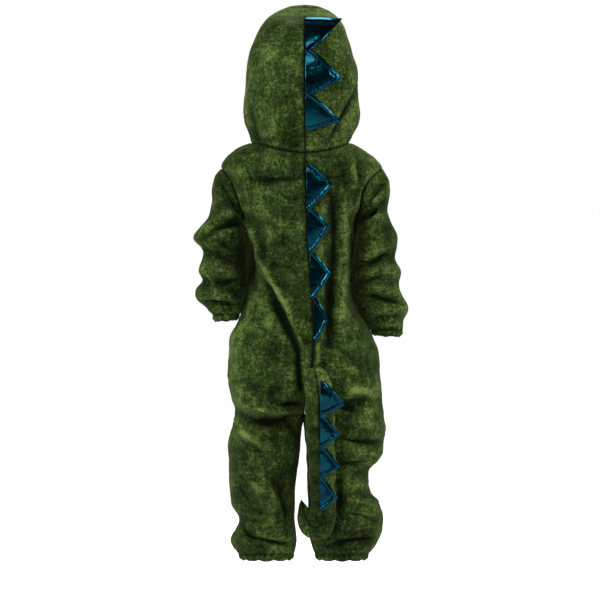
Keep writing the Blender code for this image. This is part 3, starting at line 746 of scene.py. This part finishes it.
def hem_waves(up, around):
    """Uneven rise and fall of a gathered hem: two waves of different length, fading upwards."""
    wave = np.sin(2 * np.pi * around / 31 + 0.7) + 0.5 * np.sin(2 * np.pi * around / 17.3 + 2)
    return HEM_WAVE * (wave * bell(up, 9))[..., None] * np.array([0, 0, 1])


def in_scene(name, data):
    """An object of the scene from its mesh, light or camera."""
    obj = bpy.data.objects.new(name, data)
    bpy.context.scene.collection.objects.link(obj)
    return obj


def put_mesh(name, points, faces, uv, marks, materials):
    """A mesh object from points in millimetres, faces, a UV for each point and named marks on the points."""
    mesh = bpy.data.meshes.new(name)
    mesh.from_pydata((points * MM).tolist(), [], faces.tolist())
    mesh.update()
    layer = mesh.uv_layers.new(name="Cloth")
    corner = np.empty(len(mesh.loops), np.int32)
    mesh.loops.foreach_get("vertex_index", corner)
    layer.data.foreach_set("uv", (uv[corner] * MM).astype(np.float32).ravel())
    for key, value in marks.items():
        mark = mesh.attributes.new(key, "FLOAT", "POINT")
        mark.data.foreach_set("value", value.astype(np.float32).ravel())
    mesh.shade_smooth()
    for material in materials:
        mesh.materials.append(material)
    return in_scene(name, mesh)


def edit(obj, change):
    """Opens a piece's mesh, makes one change to it and puts it back."""
    work = bmesh.new()
    work.from_mesh(obj.data)
    change(work)
    work.to_mesh(obj.data)
    work.free()


def weld(work):
    """Merges points that lie together, as at a pole, and drops faces without area."""
    bmesh.ops.remove_doubles(work, verts=work.verts, dist=1e-5)
    bmesh.ops.dissolve_degenerate(work, dist=1e-5, edges=work.edges)


def turn_outwards(work):
    """Closes a stuffed piece and points its faces outwards."""
    bmesh.ops.remove_doubles(work, verts=work.verts, dist=1e-6)
    bmesh.ops.recalc_face_normals(work, faces=work.faces)
    if work.calc_volume(signed=True) < 0:
        bmesh.ops.reverse_faces(work, faces=work.faces)


def grid_faces(rows, cols, tube, flip):
    """Quads of a grid, joined round where it is a tube, and turned over where they would face inwards."""
    index = np.arange(rows * cols).reshape(rows, cols)
    ring = np.concatenate([index, index[:, :1]], 1) if tube else index
    quad = np.stack([ring[:-1, :-1], ring[1:, :-1], ring[1:, 1:], ring[:-1, 1:]], -1).reshape(-1, 4)
    return quad[:, ::-1] if flip else quad


def joined(grid, strips, place, axis):
    """A grid with strips set on at its first or its last line."""
    return np.concatenate(strips[::-1] + [grid] if place == 0 else [grid] + strips, axis)


def tucked(shown, out, marks, edges):
    """Adds a turned-in strip along the sewn edges of a grid, so that no light comes through a seam: the edge
    line again, moved inwards along its normals and a little past the seam."""
    for axis, place, reach in edges:
        edge = np.take(shown, [place], axis)
        past = edge - np.take(shown, [1 if place == 0 else -2], axis)
        past = edge + reach * past / np.maximum(np.linalg.norm(past, axis=-1, keepdims=True), 1e-9)
        normal = np.take(out, [place], axis)
        shown = joined(shown, [past - TUCK_NEAR * normal, past - TUCK_DEEP * normal], place, axis)
        out = joined(out, [normal] * 2, place, axis)
        for key, value in marks.items():
            marks[key] = joined(value, [np.take(value, [place], axis)] * 2, place, axis)
    return shown, marks


def cloth(solid, points, height, seam, tube, outward, edges, pole=False):
    """A cloth shell: a grid of points moved out by a height, with a wall added on its inner side."""
    out = grid_normals(points, outward, tube)
    shown = points + out * height[..., None]
    low = smoothed(shown, CLOTH_SMOOTHING, tube)
    ridge = ((shown - low) * out).sum(-1)
    ridge = ridge - np.median(ridge)
    # The ridge mark is painted shade and highlight: the cloth is coloured lighter on its folds' ridges and
    # darker in their troughs.
    marks = {"seam": seam + 0 * ridge, "ridge": fold_shade(ridge)}
    shown, marks = tucked(shown, out, marks, edges)
    rows, cols = shown.shape[:2]
    uv = np.stack([steps_between(shown, 1), -steps_between(shown, 0)], -1).reshape(-1, 2)
    # Rows run down and columns run on, so the cross product of the two tells which way the quads face.
    faces = grid_faces(rows, cols, tube, outward > 0)
    obj = put_mesh(solid + "_cloth", shown.reshape(-1, 3), faces, uv, marks, (PLUSH, PLUSH_BACK))
    if pole:
        edit(obj, weld)
    wall = obj.modifiers.new("wall", "SOLIDIFY")
    wall.thickness = SHELL * MM
    wall.offset = -1
    wall.material_offset = 1
    wall.material_offset_rim = 0
    finish_piece(obj, solid)


def finish_piece(obj, solid):
    """Lets a piece stand for its solid."""
    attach(obj, "root")
    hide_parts(solid)


PANEL_COLUMNS = {False: 60, True: 52}
SLEEVE_COLUMNS, SLEEVE_ROWS = 104, 170
SPIKE_STEPS = 64
TAIL_COLUMNS, TAIL_ROWS = 44, 150


def body_levels():
    """Levels of the cloth's rows: close and even, and closer round the ends of the armhole."""
    arm = ARM_MIDDLE - ARM_HALF * ARM_PANEL * np.cos(np.linspace(0, np.pi, 37))
    above, below = np.arange(2 * EPS, 3.9, 0.125), np.linspace(8.1, LAST_LEVEL - 2 * EPS, 232)
    return np.concatenate([above, arm, below])


def keep_side(points, side, seam):
    """Keeps a half's points on their own side of the centre seam."""
    reach = np.maximum(SIGN[side] * (points[..., 0] - seam), HALF_SEAM)
    points[..., 0] = seam + SIGN[side] * reach
    return points


def body_panel(side, front):
    """One body panel: half ovals from the centre seam to the side, with folds, creases, seams and gathers."""
    levels = body_levels()
    edge = np.maximum(arm_reach(side, levels, front, ARM_PANEL), SIDE_EDGE)
    share = np.linspace(0, 1, PANEL_COLUMNS[front])[None, :]
    angle = 1 - (1 - edge[:, None]) * share
    angle = angle if front else -angle
    level = levels[:, None]
    points = body_surface(side, level, angle)
    seam_x = body_wide(level, side, front)[2]
    parted = unit(along(BODY["split"], level)) >= 0.999
    points = np.where(parted[..., None], points, keep_side(points.copy(), side, seam_x))
    from_middle = steps_between(points, 1)
    to_side = from_middle[:, -1:] - from_middle
    near_seam = np.minimum(from_middle, to_side)
    down = steps_between(points, 0)
    up = down[-1:] - down
    rows = FRONT_CREASES if front else BACK_CREASES
    lines = crease_height(rows, points[..., 0], points[..., 2])
    calm = unit(near_seam / CALM)
    calm = calm * unit(down / 10) * unit((up - HEM_FLAT) / HEM_FADE)
    rough = 0.9 * unevenness(points, 46, 3) + 0.45 * unevenness(points, 19, 5)
    height = (lines + rough) * calm
    pressed = bell(level - PRESSED_LEVEL, PRESSED_LEVELS)
    height += seam_dip(from_middle, down) * unit(up / 20)
    height += seam_dip(to_side, down) * unit(up / 20) * (1 - pressed)
    height += 1.6 * pressed * bell(to_side, 26)
    height += seam_dip(down, from_middle)
    height += gathers(up, from_middle) * unit(1 - up / 46) - hem_turn(up)
    points = points + hem_waves(up, near_seam) * unit(near_seam / 12)[..., None]
    seam = bell(np.minimum(near_seam, down), SEAM_MARK)
    seam = np.maximum(seam, 0.25 * bell(up - CASING, CASING_MARK))
    # Painted shade: under the arm the side's seam mark is raised, so the cloth there is coloured darker.
    seam = np.maximum(seam, UNDERARM_SHADE * pressed * bell(to_side, 16))
    outward = SIGN[side] * (1 if front else -1)
    edges = ((1, 0, TUCK_PAST), (1, -1, TUCK_PAST), (0, 0, NECK_PAST))
    solid = ("front_" if front else "back_") + side
    cloth(solid, points, height, seam, False, outward, edges)


def sleeve(side):
    """A sleeve: rings from the armhole's edge to the wrist, smooth between the table's rows, with folds."""
    turn = np.arange(SLEEVE_COLUMNS) * 2 * np.pi / SLEEVE_COLUMNS
    at = ARM_MIDDLE - ARM_HALF * ARM_SLEEVE * np.cos(turn)
    back = turn <= np.pi
    table = np.where(back, -ARM_BACK[side], ARM_FRONT[side]) * ARM_SLEEVE
    hole = body_surface(side, at, table * np.abs(np.sin(turn)))
    x_outer, z_outer, x_inner, z_inner, y_middle, deep = (c[:, None] for c in SLEEVES[side].values())
    x = SIGN[side] * ((x_outer + x_inner) / 2 + (x_outer - x_inner) / 2 * np.cos(turn))
    y = y_middle - deep * np.sin(turn)
    z = (z_outer + z_inner) / 2 + (z_outer - z_inner) / 2 * np.cos(turn)
    rings = np.concatenate([hole[None], np.stack(np.broadcast_arrays(x, y, z), -1)])
    at_row = np.concatenate([np.linspace(0, 1, 8)[:-1], np.linspace(1, len(rings) - 1, SLEEVE_ROWS)])
    points = along(rings, at_row)
    down = steps_between(points, 0)
    around = steps_between(np.concatenate([points, points[:, :1]], 1), 1)[:, :-1]
    up = down[-1:] - down
    row = at_row[:, None] - 1
    height = np.zeros(points.shape[:2])
    for mid, centre, drift, wide, spread, high in zip(*SLEEVE_FOLDS[side].values()):
        off = (np.degrees(turn) - centre + 180) % 360 - 180
        across = (row - mid - drift * off / 90) / wide
        section = 0.45 * np.exp(-(across**2)) + 0.75 * np.exp(-1.6 * (np.sqrt(across**2 + 0.1) - 0.316))
        height += 1.25 * high * section * bell(off, spread) * (0.2 + 0.8 * np.abs(np.sin(turn)))
    # The side towards the body stays flat, so that the sleeve clears it.
    inner = unit((np.cos(turn) + 0.9) / 0.7)
    height = (height + 0.9 * unevenness(points, 34, 8)) * inner
    beside = unit((-np.cos(turn) - 0.3) / 0.5)
    rest = beside * unit(row * 2 + 1.8) * unit((14 - row) / 2)
    height = height * unit(down / 14) * unit((up - HEM_FLAT) / HEM_FADE) + SLEEVE_REST * rest
    height += UNDERARM_FILL[side] * rest * bell(row, FILL_ROWS)
    height += CUFF_FILL[side] * beside * bell(row - CUFF_ROW, FILL_ROWS)
    height += seam_dip(down, around) + gathers(up, around) * unit(1 - up / 40) - hem_turn(up)
    points = points + hem_waves(up, around)
    seam = bell(down, ROUND_MARK) + 0.25 * bell(up - CASING, CASING_MARK)
    # Painted shade: the sleeve's side towards the body is coloured darker, carried on the seam mark.
    seam = seam + UNDERARM_SHADE * rest
    edges = ((0, 0, TUCK_PAST),)
    cloth("sleeve_" + side, points, height, seam, True, SIGN[side], edges)


def hood_panel(side, brow):
    """A hood panel or brow band: rings from neck seam to crown, from the centre seam to the next one."""
    top = LAST_RING - (0.003 if brow else 0.5)
    levels = np.concatenate([np.linspace(2 * EPS, 8, 84), np.linspace(8.06, top, 56)])
    level = levels[:, None]
    share = np.linspace(0, 1, 30 if brow else 60)[None, :]
    if brow:
        face = along(HOOD["face"], level) / 90
        angle = SIDE_EDGE + (face - SIDE_EDGE) * share
    else:
        angle = -1 + (1 - SIDE_EDGE) * share
    points = hood_surface(side, level, angle)
    if not brow:
        tip = hood_surface(side, np.array([[LAST_RING - 0.05]]), np.array([[-0.5]]))[0]
        close = np.linspace(0, 1, 8)[1:, None, None]
        points = np.concatenate([points, points[-1:] + (tip - points[-1:]) * close])
    points = keep_side(points, side, 0)
    from_start = steps_between(points, 1)
    to_end = from_start[:, -1:] - from_start
    rise = steps_between(points, 0)
    x, z = points[..., 0], points[..., 2]
    behind = unit(-points[..., 1] / 20 + 0.7)
    lines = crease_height(HOOD_CREASES, x, z) * behind
    calm = unit(np.minimum(from_start, to_end) / CALM) * unit(rise / CALM)
    calm = calm * unit((len(points) - 1 - np.arange(len(points)))[:, None] / 20)
    height = (lines + 0.7 * unevenness(points, 52, 11) + 0.3 * unevenness(points, 20, 12)) * calm
    height += seam_dip(rise, from_start)
    height += seam_dip(from_start, rise) * unit(to_end / 8)
    if brow:
        hem = bell(to_end - BROW_HEM, SEAM_MARK)
        height -= 0.7 * hem
        seam = np.maximum(bell(from_start, SEAM_MARK), 0.6 * hem)
    else:
        height += seam_dip(to_end, rise) * unit(from_start / 8)
        seam = bell(np.minimum(from_start, to_end), SEAM_MARK)
    # Painted highlight: on the brow band the seam mark is lowered by a constant, so the whole band is
    # coloured lighter.
    seam = np.maximum(seam, bell(rise, ROUND_MARK)) - (BROW_PAINTED_LIGHT if brow else 0)
    edges = ((1, 0, TUCK_PAST), (0, 0, TUCK_PAST), (0 if brow else 1, -1, TUCK_PAST))
    solid = ("hood_brow_" if brow else "hood_") + side
    cloth(solid, points, height, seam, False, SIGN[side], edges, True)


def spike(name, row, depth_of, root_x):
    """A stuffed triangle of foil cloth: its root runs down the seam. A thick rim runs inside its two free
    edges, with a stitched channel, and the middle swells a little."""
    z_top, z_bottom, x_tip, z_tip, off = row
    down = np.linspace(0, 1, SPIKE_STEPS)[:, None]
    out = np.linspace(0, 1, SPIKE_STEPS)[None, :] ** 0.85
    reach = (out - SPIKE_BAND) / (1 - SPIKE_BAND)
    swollen = 1 + SPIKE_BULGE * np.sin(np.pi * out)
    root_z = z_top + (z_bottom - z_top) * down
    blunt = z_tip + 0.05 * (z_bottom - z_top) * (down - 0.5)
    z = root_z + (blunt - root_z) * np.maximum(reach, 0)
    z = np.clip(z_tip + (z - z_tip) * swollen, z_bottom, z_top)
    x = root_x + (x_tip - root_x) * out + 0 * down
    width = abs(x_tip - root_x) * (1 - SPIKE_BAND)
    edges = []
    for root, way in ((z_top, 1), (z_bottom, -1)):
        line = z_tip + (root - z_tip) * (1 - reach) * swollen
        edges.append(way * (line - z) * width / math.hypot(width, root - z_tip))
    edge = np.maximum(np.minimum(*edges), 0)
    rim = 2.1 * np.sqrt(unit(edge / 2.6)) * bell(np.maximum(edge - 3.4, 0), 3)
    channel = bell(edge - SPIKE_STITCH, 1.1)
    middle = 2.2 * (1 - np.exp(-(np.maximum(edge - SPIKE_STITCH, 0) / 6)))
    flat = np.stack([x, 0 * x, z], -1)
    run = steps_between(flat, 1)
    pucker = np.sin(2 * np.pi * run / 6.0 + 2 * np.sin(run / 9)) * bell(edge - SPIKE_STITCH, 3)
    rough = 0.35 * unevenness(flat, 24, 21) * unit(edge / 5)
    swell = np.maximum(rim + middle - 0.4 * channel + 0.28 * pucker + rough, 0)
    under = depth_of(x, z) + SPIKE_CLEAR + off * out**SPIKE_CURVE
    over = under + 0.8 + swell * unit(1.15 - out) ** 0.3
    outer, inner = np.stack([x, -over, z], -1), np.stack([x, -under, z], -1)
    count = SPIKE_STEPS**2
    index = np.arange(count).reshape(SPIKE_STEPS, SPIKE_STEPS)
    front = grid_faces(SPIKE_STEPS, SPIKE_STEPS, False, False)
    back = front[:, ::-1] + count
    lines = (index[0], index[:, -1], index[-1][::-1], index[:, 0][::-1])
    rims = [np.stack([line[:-1], line[1:], line[1:] + count, line[:-1] + count], -1) for line in lines]
    faces = np.concatenate([front, back, *rims])
    points = np.concatenate([outer.reshape(-1, 3), inner.reshape(-1, 3)])
    uv = np.concatenate([np.stack([x, z], -1).reshape(-1, 2)] * 2)
    mark = np.concatenate([channel.ravel(), channel.ravel()])
    obj = put_mesh(name + "_foil", points, faces, uv, {"seam": mark}, (FOIL,))
    edit(obj, turn_outwards)
    finish_piece(obj, name)


def tail_half(side):
    """One stuffed side of the tail: half ovals carried along the curling path, dipping in to the seam."""
    fine = np.linspace(0, len(TAIL["x"]) - 1, TAIL_ROWS)
    value = {key: along(column, fine) for key, column in TAIL.items()}
    centre = along(tail_centres(), fine)
    path = np.stack([value["x"], -centre, value["z"]], -1)
    way = np.gradient(path, axis=0)
    way[:, 1] = 0
    way /= np.linalg.norm(way, axis=1, keepdims=True)
    across = np.stack([-way[:, 2], 0 * way[:, 0], way[:, 0]], -1)
    turn = np.linspace(-np.pi / 2, np.pi / 2, TAIL_COLUMNS)
    wide = np.maximum(value["wide"], 0.6)[:, None, None]
    deep = np.maximum(value["deep"], 0.6)[:, None, None]
    arc = across[:, None, :] * SIGN[side] * (wide * np.cos(turn)[None, :, None] - TAIL_MEET)
    arc = arc + np.array([0, -1, 0]) * deep * np.sin(turn)[None, :, None]
    run = steps_between(path[:, None, :], 0)
    from_seam = (np.pi / 2 - np.abs(turn))[None, :] * (wide[..., 0] + deep[..., 0]) / 2
    rumple = 0.05 * unevenness(path[:, None, :] + arc, 30, 17) * unit(from_seam / 6)
    dip = seam_dip(from_seam, run) * 1.3
    grown = 1 + rumple + dip / np.maximum(np.maximum(wide, deep)[..., 0], 10)
    points = path[:, None, :] + arc * grown[..., None]
    rows, cols = points.shape[:2]
    faces = grid_faces(rows, cols, True, False)
    seam = bell(from_seam, SEAM_MARK) + 0 * run
    low = smoothed(points, TAIL_SMOOTHING, False)
    ridge = np.linalg.norm(points - path[:, None], axis=-1) - np.linalg.norm(low - path[:, None], axis=-1)
    uv = np.stack([steps_between(points, 1), -run + 0 * from_seam], -1).reshape(-1, 2)
    # Painted light and shade: the tail's right side is coloured lighter and its left side darker, fading out
    # at the curl.
    painted_side_light = TAIL_SIDE_LIGHT[side] * unit((points[..., 2] - TAIL_CURL) / 30)
    marks = {"seam": seam, "ridge": fold_shade(ridge) + painted_side_light}
    obj = put_mesh("tail_" + side + "_stuffed", points.reshape(-1, 3), faces, uv, marks, (PLUSH,))
    edit(obj, lambda work: bmesh.ops.holes_fill(work, edges=work.edges, sides=0))
    edit(obj, turn_outwards)
    finish_piece(obj, "tail_" + side)


def new_material(name, roughness, metallic=0.0):
    """A material with its Principled shader."""
    made = bpy.data.materials.new(name)
    made.use_nodes = True
    shader = made.node_tree.nodes["Principled BSDF"]
    return made, made.node_tree, feed(made.node_tree, shader, {"Roughness": roughness, "Metallic": metallic})


def feed(tree, made, inputs):
    """Sets a node's inputs by name or place: each from a socket, a number or a colour."""
    for key, value in inputs.items():
        if isinstance(value, bpy.types.NodeSocket):
            tree.links.new(value, made.inputs[key])
        else:
            made.inputs[key].default_value = value
    return made


def node(tree, kind, inputs):
    """A new node of a kind, with its inputs set."""
    return feed(tree, tree.nodes.new("ShaderNode" + kind), inputs)


def math_node(tree, operation, *values):
    """The result of a Math node; each value is a socket or a number."""
    made = node(tree, "Math", {})
    made.operation = operation
    return feed(tree, made, dict(enumerate(values))).outputs[0]


def coordinates(tree):
    """Object coordinates."""
    return node(tree, "TexCoord", {}).outputs["Object"]


def attribute(tree, name):
    """A named mark that the mesh carries on its points."""
    made = node(tree, "Attribute", {})
    made.attribute_name = name
    return made.outputs["Fac"]


def noise(tree, vector, scale, detail, rough, stretch=None):
    """A noise value, stretched along an axis where asked."""
    if stretch is not None:
        vector = node(tree, "Mapping", {"Scale": stretch, "Vector": vector}).outputs[0]
    inputs = {"Vector": vector, "Scale": scale, "Detail": detail, "Roughness": rough}
    return node(tree, "TexNoise", inputs).outputs["Fac"]


def ramp(tree, value, stops):
    """The colour that a value picks between stops, each a place and a colour, in rising order."""
    made = node(tree, "ValToRGB", {"Fac": value})
    first, *between, last = stops
    for element, stop in zip(made.color_ramp.elements, (first, last)):
        element.position, element.color = stop
    for place, colour in between:
        made.color_ramp.elements.new(place).color = colour
    return made.outputs["Color"]


def bump(tree, height, strength, distance):
    """The normal of a bumpy surface, from its height."""
    made = node(tree, "Bump", {"Height": height, "Strength": strength, "Distance": distance})
    return made.outputs["Normal"]


def pile_group():
    """Plush pile: mottled shade, grain and height. Blotches of two sizes, short stretched streaks and fine
    pile add up to one shade, with the folds' painted shade and highlight, the seam mark's dark lines, painted
    shade and painted highlight, and a painted shade that sinks slowly down the legs; the grain and the seam
    mark give the height."""
    group = bpy.data.node_groups.new("plush_pile", "ShaderNodeTree")
    for way, names in (("INPUT", ("Ridge", "Seam")), ("OUTPUT", ("Shade", "Height"))):
        for name in names:
            group.interface.new_socket(name, in_out=way, socket_type="NodeSocketFloat")
    came, went = group.nodes.new("NodeGroupInput"), group.nodes.new("NodeGroupOutput")
    ridge, seam = came.outputs["Ridge"], came.outputs["Seam"]
    vector = coordinates(group)
    fleck = noise(group, vector, 190, 3, 0.7)
    pile = noise(group, vector, 560, 3, 0.8)
    up = node(group, "SeparateXYZ", {"Vector": vector}).outputs["Z"]
    below = math_node(group, "MINIMUM", math_node(group, "ADD", up, LEG_SHADE_FROM), 0.0)
    parts = (
        (noise(group, vector, 11, 3, 0.6), 0.85),
        (noise(group, vector, 40, 4, 0.6), 0.7),
        (noise(group, vector, 140, 3, 0.6, (1.0, 1.0, 0.16)), 0.45),
        (noise(group, vector, 140, 3, 0.6, (0.2, 0.2, 1.2)), 0.4),
        (fleck, 1.1),
        (pile, 1.5),
        # Painted shade and highlight of the folds.
        (ridge, 0.55),
        # Dark seam and stitch lines, with the painted underarm shade and painted brow highlight that the seam
        # mark also carries.
        (seam, -0.45),
        # Painted shade: darker down the legs, to a fixed limit.
        (math_node(group, "MAXIMUM", below, -0.16), 0.62),
    )
    shade = PILE_SHADE
    for value, share in parts:
        shade = math_node(group, "MULTIPLY_ADD", value, share, shade)
    height = math_node(group, "MULTIPLY_ADD", fleck, 0.8, math_node(group, "MULTIPLY", pile, 0.55))
    height = math_node(group, "MULTIPLY_ADD", seam, -0.35, height)
    feed(group, went, {"Shade": shade, "Height": height})
    return group


def plush_material(name, group, dark, mid, light, sheen):
    """Short pile plush: the pile's shade picks the colour, its height gives the bump; sheen softens edges."""
    made, tree, shader = new_material(name, 0.92)
    pile = node(tree, "Group", {})
    pile.node_tree = group
    feed(tree, pile, {"Ridge": attribute(tree, "ridge"), "Seam": attribute(tree, "seam")})
    feed(tree, shader, {
        "Base Color": ramp(tree, pile.outputs["Shade"], ((0.08, dark), (0.5, mid), (0.98, light))),
        "Normal": bump(tree, pile.outputs["Height"], 0.7, 0.002),
        "Specular IOR Level": 0.06,
        "Sheen Weight": sheen,
        "Sheen Roughness": 0.45,
        "Sheen Tint": SHEEN,
    })
    return made


def foil_material():
    """Teal foil cloth: metal with soft dents, a fine scale of pressed dots, and a darker stitched channel."""
    made, tree, shader = new_material("teal_foil", 0.24, 1.0)
    vector = coordinates(tree)
    drift = noise(tree, vector, 34, 2, 0.5)
    dents = noise(tree, vector, 75, 2, 0.5)
    dots = node(tree, "TexVoronoi", {"Vector": vector, "Scale": 620}).outputs["Distance"]
    shade = math_node(tree, "MULTIPLY_ADD", attribute(tree, "seam"), -0.5, drift)
    height = math_node(tree, "MULTIPLY_ADD", dents, 1.0, math_node(tree, "MULTIPLY", dots, 0.05))
    feed(tree, shader, {
        "Base Color": ramp(tree, shade, ((0.25, FOIL_DEEP), (0.75, FOIL_BRIGHT))),
        "Roughness": math_node(tree, "MULTIPLY_ADD", dents, 0.16, 0.12),
        "Normal": bump(tree, height, 0.35, 0.004),
        "Specular Tint": FOIL_EDGE,
        "Coat Weight": 0.08,
        "Coat Roughness": 0.12,
    })
    return made


PILE = pile_group()
PLUSH = plush_material("olive_plush", PILE, PLUSH_DARK, PLUSH_MID, PLUSH_LIGHT, 0.12)
PLUSH_BACK = plush_material("plush_backing", PILE, PLUSH_DARK, BACKING, BACKING, 0.1)
FOIL = foil_material()


def make_costume():
    """Every piece of the costume."""
    for side in SIGN:
        for front in (False, True):
            body_panel(side, front)
            hood_panel(side, front)
        sleeve(side)
        tail_half(side)
    for number, row in enumerate(zip(*HOOD_SPIKES.values()), 1):
        spike(f"spike_hood_{number}", row, hood_depth, SPIKE_ROOT)
    for number, row in enumerate(zip(*BACK_SPIKES.values()), 1):
        level = level_at(BODY["z_back"], (row[0] + row[1]) / 2)
        spike(f"spike_back_{number}", row, back_depth, float(along(BODY["seam_back"], level)) + SPIKE_ROOT)
    for number, row in enumerate(zip(*TAIL_SPIKES.values()), 1):
        spike(f"spike_tail_{number}", row, tail_depth, TAIL_ROOT_X)


FLOOR_Z = -0.80
FLOOR_GLOW, FLOOR_NEAR, FLOOR_RISE, FLOOR_FAR = 0.38, 0.1, 0.2, 0.6


def studio():
    """A pale level floor: a round sheet, rings of points from the middle out to well past the camera."""
    turn = np.arange(64) / 64 * 2 * np.pi
    reach = np.array([0.001, 2, 6, 14, 40])[:, None]
    points = np.stack([reach * np.cos(turn), reach * np.sin(turn), FLOOR_Z + 0 * reach * turn], -1)
    mesh = bpy.data.meshes.new("floor")
    mesh.from_pydata(points.reshape(-1, 3).tolist(), [], grid_faces(5, 64, True, False).tolist())
    paper, tree, shader = new_material("studio_paper", 0.9)
    seen = node(tree, "LightPath", {}).outputs["Is Camera Ray"]
    away = node(tree, "VectorMath", {0: coordinates(tree)})
    away.operation = "LENGTH"
    white = math_node(tree, "MULTIPLY_ADD", away.outputs["Value"], FLOOR_RISE, FLOOR_NEAR)
    white = math_node(tree, "MINIMUM", white, FLOOR_FAR)
    feed(tree, shader, {
        "Base Color": (0.93, 0.93, 0.93, 1),
        "Emission Color": (1, 1, 1, 1),
        "Emission Strength": math_node(tree, "MULTIPLY_ADD", seen, white, FLOOR_GLOW),
    })
    mesh.materials.append(paper)
    in_scene("floor", mesh)


def area_light(name, place, aim, size, power):
    """A soft square light at a place, turned towards a point."""
    data = bpy.data.lights.new(name, "AREA")
    data.shape, data.size, data.energy = "SQUARE", size, power
    lamp = in_scene(name, data)
    lamp.location = place
    way = np.array(aim, float) - np.array(place, float)
    tilt = math.acos(-way[2] / np.linalg.norm(way))
    lamp.rotation_euler = (tilt, 0, math.atan2(way[1], way[0]) - math.pi / 2)


def camera():
    """The photograph's view: level, from behind, with the frame 1.08 m wide at the suit's middle."""
    data = bpy.data.cameras.new("camera")
    distance, frame_wide = 9.0, 1.08
    data.sensor_width = 36.0
    data.lens = data.sensor_width * distance / frame_wide
    eye = in_scene("camera", data)
    eye.location = (-0.009, -distance, -0.261)
    eye.rotation_euler = (math.pi / 2, 0, 0)
    bpy.context.scene.camera = eye


def light_scene():
    """Plain soft studio light, the same on both sides, with a bright backdrop."""
    world = bpy.data.worlds.new("studio")
    world.use_nodes = True
    tree = world.node_tree
    seen = node(tree, "LightPath", {}).outputs["Is Camera Ray"]
    strength = math_node(tree, "MULTIPLY_ADD", seen, 0.9, 0.1)
    feed(tree, tree.nodes["Background"], {"Color": (1, 1, 1, 1), "Strength": strength})
    bpy.context.scene.world = world
    aim = (0, 0, 0.1)
    area_light("left", (-2.2, -1.0, 1.1), aim, 0.8, 54)
    area_light("right", (2.2, -0.9, 1.2), aim, 0.8, 56)
    area_light("above", (-0.3, -2.4, 2.6), aim, 1.2, 42)
    area_light("front", (0.4, 2.6, 1.6), aim, 1.5, 48)
    bpy.context.scene.view_settings.view_transform = "Standard"


make_costume()
studio()
camera()
light_scene()

bpy.context.view_layer.update()
